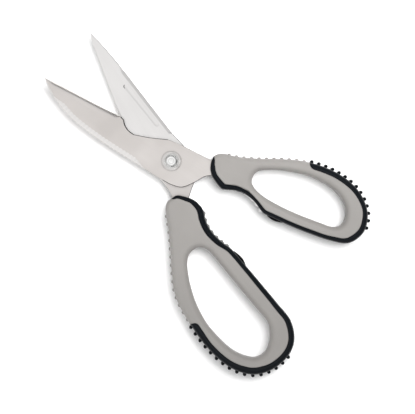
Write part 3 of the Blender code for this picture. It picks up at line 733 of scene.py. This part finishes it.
def blade_mesh(name, runs, top, floor, steels):
    """A blade as rings of corners from its top face, down over the bevels, to its lower face.

    It has its materials and the pivot's hole, since a cut made later would lose which
    face has which material.
    """
    loop = [stop for run in runs for stop in run[:-1]]
    facing = 1 if signed_area([stop["at"] for stop in loop]) > 0 else -1
    shares = [1 - step / BEVEL_STEPS for step in range(BEVEL_STEPS + 1)]
    bands = [("top", share) for share in shares] + [("bottom", share) for share in reversed(shares)]
    bm = bmesh.new()
    rings = []
    for part, share in bands:
        least = floor + (LEAST_THICKNESS if share else LEAST_EDGE)
        ring = []
        for stop in loop:
            inset, fall = ring_spot(stop, share, part)
            z = max(top - fall, least) if part == "top" else floor + fall
            ring.append(corner(bm, stop["at"] + stop["side"] * facing * inset, z))
        rings.append(ring)

    def slot(level, index):
        return loop[index]["slot"] if level <= BEVEL_STEPS else STEEL_FACE

    bridge(bm, rings, slots=slot)
    bm.faces.new(rings[0][::-1])
    bm.faces.new(rings[-1])
    clean(bm)
    blade = mesh_object(name, bm, BLADE_SHARP_DEG)
    clothe(blade, *steels)
    circle = [way * HOLE_RADIUS for way in circle_of(64)]
    drill = slab("drill", circle, floor - CUTTER_RISE, top + CUTTER_RISE, 0.0)
    combine(blade, drill, "DIFFERENCE", BLADE_SHARP_DEG)
    return blade


def make_upper_blade(steels):
    """The blade on top, its outline run round from the tip along the cutting edge."""
    # Painted light along the outline: near-black painted shadow lines on the notch, the heel and the
    # shoulder, painted shade on the boss and the corner, a painted highlight on the point.
    runs = [
        serrated_run(UPPER_EDGE),
        plain_run(UPPER_NOTCH, 0.45, NOTCH_BREAK, slot=STEEL_SHADOW_LINE),
        plain_run(UPPER_HEEL, 0.45, HEEL_BREAK, slot=STEEL_SHADOW_LINE),
        plain_run(UPPER_BOSS, 0.45, HEEL_BREAK, slot=STEEL_SHADE),
        plain_run(UPPER_TANG, 1.5),
        plain_run(UPPER_SHOULDER, 0.5, slot=STEEL_SHADOW_LINE),
        plain_run(UPPER_CORNER, 0.5, slot=STEEL_SHADE),
        scaler_run(UPPER_BELLY),
        plain_run(UPPER_POINT, 0.5, POINT_BREAK, slot=STEEL_BRIGHT, fade=(0.0, 5.0)),
    ]
    return blade_mesh("upper_blade_steel", runs, UPPER_BLADE_TOP, UPPER_BLADE_FLOOR, steels)


def hollow_tool():
    """A long rounded bar laid along the blade, whose underside cuts the hollow."""
    start, end = (Vector(spot) for spot in HOLLOW_LINE)
    half = HOLLOW_WIDTH / 2
    radius = (half ** 2 + HOLLOW_DEPTH ** 2) / (2 * HOLLOW_DEPTH)
    along = (end - start).normalized()
    stretch = (end - start).length / 2 - half
    centre = (start + end) / 2
    bm = bmesh.new()
    bmesh.ops.create_uvsphere(bm, u_segments=96, v_segments=61, radius=1.0)
    for vert in bm.verts:
        reach = vert.co.z * radius + math.copysign(stretch, vert.co.z)
        spot = centre + along * reach + left_of(along) * vert.co.x * radius
        rise = LOWER_BLADE_TOP - HOLLOW_DEPTH + radius * (1 + vert.co.y)
        vert.co = Vector((spot.x * MM, spot.y * MM, rise * MM))
    return mesh_object("hollow_tool", bm, 20.0)


def strike_tool():
    """A thin bar bent round the hollow's far end, which cuts the dark line there.

    Its faces are marked dark, and the cut's walls take that over: a near-black painted shadow line where
    the hollow's end wall lies in shade.
    """
    start, end = (Vector(spot) for spot in HOLLOW_LINE)
    along = (end - start).normalized()
    centre = end - along * HOLLOW_WIDTH / 2
    first, last = STRIKE_DEG
    outside = []
    inside = []
    for step in range(STRIKE_STEPS + 1):
        share = step / STRIKE_STEPS
        angle = math.radians(first + (last - first) * share)
        way = along * math.cos(angle) + left_of(along) * math.sin(angle)
        half = STRIKE_WIDTH / 2 * (0.25 + 0.75 * math.sin(math.pi * share))
        outside.append(centre + way * (HOLLOW_WIDTH / 2 + half))
        inside.append(centre + way * (HOLLOW_WIDTH / 2 - half))
    low = LOWER_BLADE_TOP - STRIKE_DEPTH
    tool = slab("strike_tool", outside + inside[::-1], low, LOWER_BLADE_TOP + CUTTER_RISE, 0.0)
    for face in tool.data.polygons:
        face.material_index = STEEL_SHADOW_LINE
    return tool


def make_lower_blade(steels):
    """The blade below, whose cutting edge is ground on its hidden face."""
    # Painted light along the outline: painted shade on the edges, the neck and the point, and a near-black
    # painted shadow line on the shoulder.
    runs = [
        plain_run(LOWER_EDGE, 0.6, SMALL_BREAK, LOWER_GRIND, slot=STEEL_RIM_SHADE, fade=(14.0, 6.0)),
        plain_run(LOWER_NECK, 0.5, slot=STEEL_RIM_SHADE),
        plain_run(LOWER_TANG, 1.5),
        plain_run(LOWER_SHOULDER, 0.5, slot=STEEL_SHADOW_LINE),
        plain_run(LOWER_SPINE, 0.4, SPINE_CHAMFER, fade=(2.0, 5.0)),
        plain_run(LOWER_POINT, 0.6, slot=STEEL_RIM_SHADE),
    ]
    blade = blade_mesh("lower_blade_steel", runs, LOWER_BLADE_TOP, LOWER_BLADE_FLOOR, steels)
    combine(blade, hollow_tool(), "DIFFERENCE", BLADE_SHARP_DEG)
    combine(blade, strike_tool(), "DIFFERENCE", BLADE_SHARP_DEG)
    return blade


# ---- pivot

NUT_RADIUS = 4.7
NUT_STEPS = 96
DOME_RADIUS = 4.0
DOME_FLATNESS = 0.36
DOME_FOOT = 0.95
DOME_STEPS = 32
CROWN_RING = {"radius": 1.7, "width": 0.14, "depth": 0.10}
WASHER_RADIUS = 6.3
WASHER_TEETH = 44
WASHER_NOTCH = 0.32
WASHER_TWIST = 0.12
WASHER_LAND = 0.9
TOOTH_STEPS = 8
NOTCH_STEPS = 2
SHAFT_RADIUS = 2.7
SHAFT_CHAMFER = 0.4
SCREW_HEAD_RADIUS = 5.2
SCREW_HEAD_GAP = 0.3
SCREW_HEAD_BREAK = 0.15
SCREW_SLOT_WIDTH = 1.2
SCREW_SLOT_DEPTH = 0.8
SCREW_STEPS = 72


def make_nut():
    """A domed cap on a thin flange, with a groove between them and a ring turned in its crown."""
    low, top = levels("pivot_nut")
    base = low + DOME_FOOT
    profile = [(0.0, top)]
    for step in range(1, DOME_STEPS + 1):
        angle = math.radians(90 * step / DOME_STEPS)
        radius = DOME_RADIUS * math.sin(angle) ** DOME_FLATNESS
        away = (radius - CROWN_RING["radius"]) / CROWN_RING["width"]
        ring = CROWN_RING["depth"] * math.exp(-away ** 2)
        profile.append((radius, base + (top - base) * math.cos(angle) - ring))
    profile += [
        (DOME_RADIUS, low + 0.25), (DOME_RADIUS + 0.28, low + 0.15), (DOME_RADIUS + 0.4, low + 0.45),
        (NUT_RADIUS - 0.12, low + 0.5), (NUT_RADIUS, low + 0.4), (NUT_RADIUS, low + 0.1),
        (NUT_RADIUS - 0.1, low), (HOLE_RADIUS, low), (HOLE_RADIUS, low + 1.2), (0.0, low + 1.4),
    ]
    return lathe("pivot_nut_dome", profile, NUT_STEPS)


def make_washer():
    """A lock washer: a flat ring whose rim is cut into slightly twisted teeth."""
    low, high = levels("pivot_washer")
    root = WASHER_RADIUS - WASHER_LAND
    middle = (NOTCH_STEPS + TOOTH_STEPS - 1) / 2
    rings = []
    bm = bmesh.new()
    for index, way in enumerate(circle_of(WASHER_TEETH * TOOTH_STEPS)):
        phase = index % TOOTH_STEPS
        gap = phase < NOTCH_STEPS
        rim = WASHER_RADIUS - (WASHER_NOTCH if gap else 0.0)
        twist = 0.0 if gap else WASHER_TWIST * (phase - middle) / (middle - NOTCH_STEPS)
        profile = [
            (HOLE_RADIUS, low + 0.1), (HOLE_RADIUS, high - 0.1), (HOLE_RADIUS + 0.15, high),
            (root, high), (rim - 0.12, high - 0.1 + twist), (rim, high - 0.25 + twist),
            (rim, low + 0.12), (rim - 0.08, low), (root, low), (HOLE_RADIUS + 0.15, low),
        ]
        rings.append([corner(bm, way * radius, z) for radius, z in profile])
    rings.append(rings[0])
    bridge(bm, rings)
    return mesh_object("pivot_washer_teeth", bm, 25.0)


def make_screw():
    """The screw, head down: a pan head with a slot, and a plain shaft."""
    low, top = levels("pivot_screw")
    head_top = LOWER_BLADE_FLOOR - SCREW_HEAD_GAP
    profile = [
        (0.0, top), (SHAFT_RADIUS - SHAFT_CHAMFER, top), (SHAFT_RADIUS, top - SHAFT_CHAMFER),
        (SHAFT_RADIUS, head_top), (SCREW_HEAD_RADIUS - SCREW_HEAD_BREAK, head_top),
        (SCREW_HEAD_RADIUS, head_top - SCREW_HEAD_BREAK),
    ]
    for step in range(9):
        angle = math.radians(90 * step / 8)
        radius = SCREW_HEAD_RADIUS - 1.0 + math.cos(angle)
        profile.append((radius, low + 1.0 - 0.9 * math.sin(angle)))
    profile += [(3.0, low + 0.03), (0.0, low)]
    screw = lathe("pivot_screw_slotted", profile, SCREW_STEPS)
    half = SCREW_SLOT_WIDTH / 2
    reach = SCREW_HEAD_RADIUS + CUTTER_RISE
    outline = [Vector(spot) for spot in ((-reach, -half), (reach, -half), (reach, half), (-reach, half))]
    tool = slab("slot", outline, low - CUTTER_RISE, low + SCREW_SLOT_DEPTH, 0.0)
    combine(screw, tool, "DIFFERENCE", TURNED_SHARP_DEG)
    return screw


# ---- jaws and pads

JAW_TEETH = 7
JAW_PITCH = 4.3
JAW_BACK = 1.3
JAW_ROUND = 0.3
PAD_ROUND = 0.6
TOOTH_SHAPE = (0.15, 0.5, 0.95, 1.45, 1.9, 1.6, 1.0, 0.45)

# How much of TOOTH_SHAPE the teeth stand out, at the strip's far end and near the pivot.
TOOTH_REACH = {"upper": (0.95, -0.75), "lower": (0.58, 0.5)}
LEAST_REACH = 0.05


def make_jaw(half, recess, handle_side):
    """The toothed strip in a handle's recess. handle_side is 1 where the handle is on the left."""
    line = Track(recess, closed=False)
    steps = len(TOOTH_SHAPE)
    margin = (line.length - JAW_TEETH * JAW_PITCH) / 2
    far, near = TOOTH_REACH[half]
    front = []
    back = []
    for index in range(JAW_TEETH * steps + 1):
        distance = margin + JAW_PITCH * index / steps
        side = line.side(distance) * handle_side
        reach = max(LEAST_REACH, far + (near - far) * distance / line.length)
        front.append(line.at(distance) - side * TOOTH_SHAPE[index % steps] * reach)
        if index % (steps // 2) == 0:
            back.append(line.at(distance) + side * JAW_BACK)
    low, high = levels(f"{half}_jaw_plate")
    return slab(f"{half}_jaw_teeth", front + back[::-1], low, high, JAW_ROUND, 38.0)


def make_pad(half, points):
    """The rubber pad that stops a handle."""
    outline = smooth_run(points, 8, closed=True)
    low, high = levels(f"{half}_stop_pad")
    return slab(f"{half}_stop_rubber", outline, low, high, PAD_ROUND, 60.0, steps=6)


# ---- materials

class Nodes:
    """A node tree, and short ways to add nodes to it."""

    def __init__(self, tree):
        self.tree = tree

    def feed(self, node, inputs):
        """Gives a node's inputs their values, or links them where those are sockets."""
        for socket, value in inputs.items():
            if isinstance(value, bpy.types.NodeSocket):
                self.tree.links.new(value, node.inputs[socket])
            else:
                node.inputs[socket].default_value = value

    def add(self, kind, inputs, operation=None):
        """A new node, its inputs fed."""
        node = self.tree.nodes.new(kind)
        if operation:
            node.operation = operation
        self.feed(node, inputs)
        return node


class Paint(Nodes):
    """A new node material. With a half, its textures lie in that half's own frame."""

    def __init__(self, name, color, metallic, roughness, half=None, specular=0.5):
        self.material = bpy.data.materials.new(name)
        self.material.use_nodes = True
        self.material.diffuse_color = (*color, 1.0)
        super().__init__(self.material.node_tree)
        self.shader = self.tree.nodes["Principled BSDF"]
        self.feed(self.shader, {
            "Base Color": (*color, 1.0), "Metallic": metallic, "Roughness": roughness,
            "Specular IOR Level": specular,
        })
        self.place = self.add("ShaderNodeTexCoord", {}).outputs["Object"]
        if half:
            turn = math.radians(-HALVES[half])
            shift = -(Matrix.Rotation(turn, 3, "Z") @ Vector((PIVOT.x, PIVOT.y, 0.0)))
            aligned = {"Vector": self.place, "Rotation": (0.0, 0.0, turn), "Location": shift}
            self.place = self.add("ShaderNodeMapping", aligned).outputs["Vector"]

    def stretched(self, scale):
        return self.add("ShaderNodeMapping", {"Vector": self.place, "Scale": scale}).outputs["Vector"]

    def noise(self, where, scale, detail=3.0, roughness=0.5):
        return self.add("ShaderNodeTexNoise", {
            "Vector": where, "Scale": scale, "Detail": detail, "Roughness": roughness,
        }).outputs["Fac"]

    def ramp(self, value, low, high, start=0.3, end=0.7):
        """Remaps a value from start to end onto low to high."""
        return self.add("ShaderNodeMapRange", {
            "Value": value, "From Min": start, "From Max": end, "To Min": low, "To Max": high,
        }).outputs["Result"]

    def blend(self, value, *colors):
        """A colour between two, each given as a tuple or as a socket."""
        node = self.add("ShaderNodeMix", {})
        node.data_type = "RGBA"
        first, second = ((*color, 1.0) if isinstance(color, tuple) else color for color in colors)
        self.feed(node, {0: value, 6: first, 7: second})
        return node.outputs[2]

    def bump(self, value, strength, distance_m, before=None):
        inputs = {"Height": value, "Strength": strength, "Distance": distance_m}
        if before:
            inputs["Normal"] = before
        return self.add("ShaderNodeBump", inputs).outputs["Normal"]

    def done(self, tone, roughness, normal):
        self.feed(self.shader, {"Base Color": tone, "Roughness": roughness, "Normal": normal})
        return self.material


# How deep the brushed lines and the plastic's grain seem, where along the blade the painted shade on the
# neck takes over, in metres, and how pointed an edge is where it starts to look worn.
BRUSH_M = 0.00003
GRAIN_M = 0.00006
NECK_SHADE_FROM, NECK_SHADE_TO = -5 * MM, -12 * MM
WORN_FROM, WORN_TO = 0.52, 0.62


def steel(name, half, light, dark, roughness, neck=None):
    """Steel with fine lines along the blade, faint cloudy tone and small scratches.

    A colour given as neck takes over behind the pivot: painted shade, darker where the upper blade's boss
    shades the lower blade's neck.
    """
    paint = Paint(name, light, 1.0, roughness, half)
    lines = paint.noise(paint.stretched((26.0, 4200.0, 900.0)), 1.0, 4.0, 0.6)
    scratch = paint.noise(paint.stretched((70.0, 5200.0, 900.0)), 1.0, 2.0, 0.7)
    cloud = paint.noise(paint.place, 38.0, 2.0)
    tone = paint.blend(paint.ramp(cloud, 0.0, 1.0), light, dark)
    tone = paint.blend(paint.ramp(lines, 0.0, 0.30), tone, tuple(part * 0.94 for part in light))
    # Painted shade behind the pivot.
    if neck:
        along = paint.add("ShaderNodeSeparateXYZ", {"Vector": paint.place}).outputs["X"]
        tone = paint.blend(paint.ramp(along, 0.0, 1.0, NECK_SHADE_FROM, NECK_SHADE_TO), tone, neck)
    normal = paint.bump(scratch, 0.04, BRUSH_M, paint.bump(lines, 0.06, BRUSH_M))
    return paint.done(tone, paint.ramp(lines, roughness - 0.05, roughness + 0.08), normal)


def turned_steel(name, half, color, roughness):
    """Fastener steel with fine turning rings about the pivot and a cloudy tone."""
    paint = Paint(name, color, 1.0, roughness, half)
    rings = paint.add("ShaderNodeTexWave", {
        "Vector": paint.place, "Scale": 900.0, "Distortion": 1.2, "Detail": 2.0,
    })
    rings.wave_type = "RINGS"
    rings.rings_direction = "Z"
    cloud = paint.noise(paint.place, 300.0, 3.0)
    tone = paint.blend(paint.ramp(cloud, 0.0, 1.0), color, tuple(part * 0.86 for part in color))
    normal = paint.bump(rings.outputs["Fac"], 0.12, BRUSH_M)
    return paint.done(tone, paint.ramp(cloud, roughness - 0.04, roughness + 0.08), normal)


def plastic(name, color, shade, worn, roughness, grain, wear=0.5, specular=0.5):
    """Moulded plastic: a fine grain, faint clouds, handling marks and lighter worn edges."""
    paint = Paint(name, color, 0.0, roughness, specular=specular)
    cloud = paint.noise(paint.place, 45.0, 3.0)
    fine = paint.noise(paint.place, 2600.0, 3.0, 0.6)
    marks = paint.noise(paint.stretched((60.0, 240.0, 240.0)), 1.0, 4.0, 0.65)
    edges = paint.add("ShaderNodeNewGeometry", {}).outputs["Pointiness"]
    tone = paint.blend(paint.ramp(cloud, 0.0, 1.0), color, shade)
    tone = paint.blend(paint.ramp(edges, 0.0, wear, WORN_FROM, WORN_TO), tone, worn)
    normal = paint.bump(fine, grain, GRAIN_M)
    return paint.done(tone, paint.ramp(marks, roughness - 0.06, roughness + 0.08), normal)


def clothe(piece, *materials):
    for material in materials:
        piece.data.materials.append(material)


# ---- placing

def put(piece, half, slot, *nodes):
    """Turns a piece's mesh to where its half lies, and ties it to its body and CAD nodes."""
    spot = Matrix.Translation((PIVOT.x, PIVOT.y, 0.0))
    piece.data.transform(spot @ Matrix.Rotation(math.radians(HALVES[half]), 4, "Z"))
    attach(piece, f"{half}_half")
    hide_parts(*nodes)


def build_object():
    """Makes the materials and all 13 pieces."""
    face_warm = steel("blade_steel_face", "upper", (0.815, 0.775, 0.75), (0.68, 0.643, 0.618), 0.36)
    # The inner face darkens behind the pivot: painted shade from the upper blade's boss.
    face_cool = steel(
        "blade_steel_inner", "lower", (0.885, 0.87, 0.86), (0.845, 0.83, 0.82), 0.34,
        neck=(0.705, 0.67, 0.65),
    )
    # Near-black steel: painted shadow lines along the upper blade's notch, heel and shoulder.
    dark = steel("blade_steel_painted_shadow_line", "upper", (0.04, 0.04, 0.04), (0.025, 0.025, 0.025), 0.42)
    # Brighter steel: a painted highlight on the back bevel and the point.
    bright = steel("blade_steel_painted_highlight", "upper", (0.97, 0.945, 0.93), (0.93, 0.905, 0.89), 0.34)
    # Darker steel: painted shade in the serrations and on the boss and the corner.
    shade = steel("blade_steel_painted_shade", "upper", (0.74, 0.72, 0.70), (0.66, 0.64, 0.62), 0.40)
    # Near-black steel: painted shadow lines on the lower blade's shoulder and at the hollow's end.
    edge = steel("blade_steel_lower_painted_shadow_line", "lower", (0.08, 0.08, 0.078), (0.05, 0.05, 0.049), 0.40)
    # Darker steel: painted shade along the lower blade's edges.
    rim = steel("blade_steel_rim_painted_shade", "lower", (0.62, 0.61, 0.60), (0.56, 0.55, 0.54), 0.40)
    # The same steel in two tones: a painted highlight on the upper jaw's teeth, painted shade on the lower
    # jaw's.
    jaws = {
        "upper": steel("jaw_steel_painted_highlight", None, (0.95, 0.94, 0.93), (0.70, 0.69, 0.68), 0.26),
        "lower": steel("jaw_steel_painted_shade", None, (0.36, 0.36, 0.355), (0.28, 0.28, 0.275), 0.30),
    }
    fastener = turned_steel("pivot_steel", "lower", (0.95, 0.95, 0.94), 0.24)
    ring = turned_steel("washer_steel", "lower", (0.80, 0.775, 0.755), 0.30)
    grey = plastic(
        "handle_plastic_grey", (0.248, 0.237, 0.226), (0.234, 0.224, 0.214), (0.27, 0.258, 0.246),
        0.5, 0.16, wear=0.15,
    )
    black = plastic(
        "grip_rubber_black", (0.0032, 0.0043, 0.0060), (0.0038, 0.0050, 0.0068),
        (0.008, 0.011, 0.015), 0.34, 0.12, specular=0.15,
    )
    pad = plastic(
        "stop_pad_rubber", (0.0015, 0.0016, 0.0019), (0.002, 0.0022, 0.0026),
        (0.005, 0.0055, 0.006), 0.50, 0.25, specular=0.05,
    )

    for half, outline, hole, band, nubs in (
        ("upper", UPPER_HANDLE, UPPER_FINGER_HOLE, UPPER_BAND, UPPER_NUBS),
        ("lower", LOWER_HANDLE, LOWER_FINGER_HOLE, LOWER_BAND, LOWER_NUBS),
    ):
        core, grip = make_handle(half, Track(outline), Track(hole), band, nubs)
        clothe(core, grey)
        clothe(grip, black)
        put(core, half, "handle_grey", f"{half}_handle_core")
        put(grip, half, "grip_black", f"{half}_handle_grip")

    put(make_upper_blade((face_warm, dark, bright, shade)), "upper", "blade_steel", "upper_blade")
    put(make_lower_blade((face_cool, edge, rim)), "lower", "blade_steel", "lower_blade")

    for made, node, metal in (
        (make_nut(), "pivot_nut", fastener), (make_washer(), "pivot_washer", ring),
        (make_screw(), "pivot_screw", fastener),
    ):
        clothe(made, metal)
        put(made, "lower", "fastener_steel", node)

    for half, recess, side, pad_points in (
        ("upper", UPPER_RECESS, -1, UPPER_PAD), ("lower", LOWER_RECESS, 1, LOWER_PAD),
    ):
        teeth = make_jaw(half, recess, side)
        clothe(teeth, jaws[half])
        put(teeth, half, "jaw_steel", f"{half}_jaw_plate")
        rubber = make_pad(half, pad_points)
        clothe(rubber, pad)
        put(rubber, half, "pad_black", f"{half}_stop_pad")


# ---- stage

CAMERA_HEIGHT = 0.95
VIEW_WIDTH = 0.259375
VIEW_PLANE = 0.0098
VIEW_TURN_DEG = -134.43
PIVOT_IN_VIEW = Vector((-0.022625, 0.02875, 0.0))

# Places are to the right of, up from and above the view's centre, in metres.
KEY_PLACE = Vector((0.16, 0.17, 0.40))
KEY_AIM = Vector((0.01, 0.06, 0.0))
KEY_POWER = 20.0
KEY_RADIUS = 0.24
KEY_CONE_DEG = 70.0
FILL_PLACE = Vector((-0.50, -0.42, 0.10))
FILL_SIZE = 0.18
FILL_POWER = 1.7
SKY_BASE = 0.30
SKY_CROWN = 0.82
SKY_CROWN_POWER = 4.0
SKY_SIDE = 0.20
FLOOR_ALBEDO = 0.95
FLOOR_GLOW = 0.06
FLOOR_SIZE = 6.0


def make_camera():
    """Straight above the shears, far enough that the handles show little of their walls."""
    turn = Matrix.Rotation(math.radians(VIEW_TURN_DEG), 4, "Z")
    centre = Vector((PIVOT.x, PIVOT.y, VIEW_PLANE)) - turn @ PIVOT_IN_VIEW
    data = bpy.data.cameras.new("camera")
    data.sensor_width = 36.0
    data.lens = data.sensor_width * CAMERA_HEIGHT / VIEW_WIDTH
    camera = bpy.data.objects.new("camera", data)
    bpy.context.scene.collection.objects.link(camera)
    camera.matrix_world = Matrix.Translation(centre + Vector((0.0, 0.0, CAMERA_HEIGHT))) @ turn
    bpy.context.scene.camera = camera
    return centre, turn


def add_lamp(name, kind, power, place, aim):
    """A lamp that lights the scene but isn't mirrored in the steel. Gives its settings."""
    data = bpy.data.lights.new(name, kind)
    data.energy = power
    lamp = bpy.data.objects.new(name, data)
    lamp.visible_glossy = False
    bpy.context.scene.collection.objects.link(lamp)
    look = (aim - place).to_track_quat("-Z", "Y")
    lamp.matrix_world = Matrix.Translation(place) @ look.to_matrix().to_4x4()
    return data


def make_lamps(centre, turn):
    """A wide soft key close over the view's upper right, so that its light weakens towards
    the lower left, and a low fill at the lower left for the walls that the key leaves dark.
    """
    key = add_lamp("key", "SPOT", KEY_POWER, centre + turn @ KEY_PLACE, centre + turn @ KEY_AIM)
    key.shadow_soft_size = KEY_RADIUS
    key.spot_size = math.radians(KEY_CONE_DEG)
    key.spot_blend = 1.0
    fill = add_lamp("fill", "AREA", FILL_POWER, centre + turn @ FILL_PLACE, centre)
    fill.shape = "SQUARE"
    fill.size = FILL_SIZE


def make_sky(turn):
    """A white room, bright overhead, dim near the floor and brighter to the view's lower left."""
    world = bpy.data.worlds.new("world")
    world.use_nodes = True
    sky = Nodes(world.node_tree)
    lower_left = turn @ Vector((-1.0, -1.0, 0.0)).normalized()
    way = sky.add("ShaderNodeTexCoord", {}).outputs["Generated"]
    up = sky.add("ShaderNodeSeparateXYZ", {"Vector": way}).outputs["Z"]
    side = sky.add("ShaderNodeVectorMath", {0: way, 1: SKY_SIDE * lower_left}, "DOT_PRODUCT")
    crown = sky.add("ShaderNodeMath", {0: up, 1: SKY_CROWN_POWER}, "POWER").outputs["Value"]
    both = {0: crown, 1: SKY_CROWN, 2: side.outputs["Value"]}
    both = sky.add("ShaderNodeMath", both, "MULTIPLY_ADD").outputs["Value"]
    strength = sky.add("ShaderNodeMath", {0: both, 1: SKY_BASE}, "ADD").outputs["Value"]
    white = {"Color": (1.0, 1.0, 1.0, 1.0), "Strength": strength}
    sky.feed(sky.tree.nodes["Background"], white)
    bpy.context.scene.world = world


def make_floor():
    """A plain pale floor with a faint glow, which keeps it white where the key is weak."""
    bpy.ops.mesh.primitive_plane_add(size=FLOOR_SIZE, location=(0.0, 0.0, 0.0))
    floor = bpy.context.object
    floor.name = "floor"
    paint = Paint("floor_white", (FLOOR_ALBEDO,) * 3, 0.0, 0.8)
    paint.feed(paint.shader, {"Emission Color": (1.0, 1.0, 1.0, 1.0), "Emission Strength": FLOOR_GLOW})
    clothe(floor, paint.material)


def make_stage():
    centre, turn = make_camera()
    make_lamps(centre, turn)
    make_sky(turn)
    make_floor()
    bpy.context.scene.view_settings.view_transform = "Standard"


build_object()
make_stage()
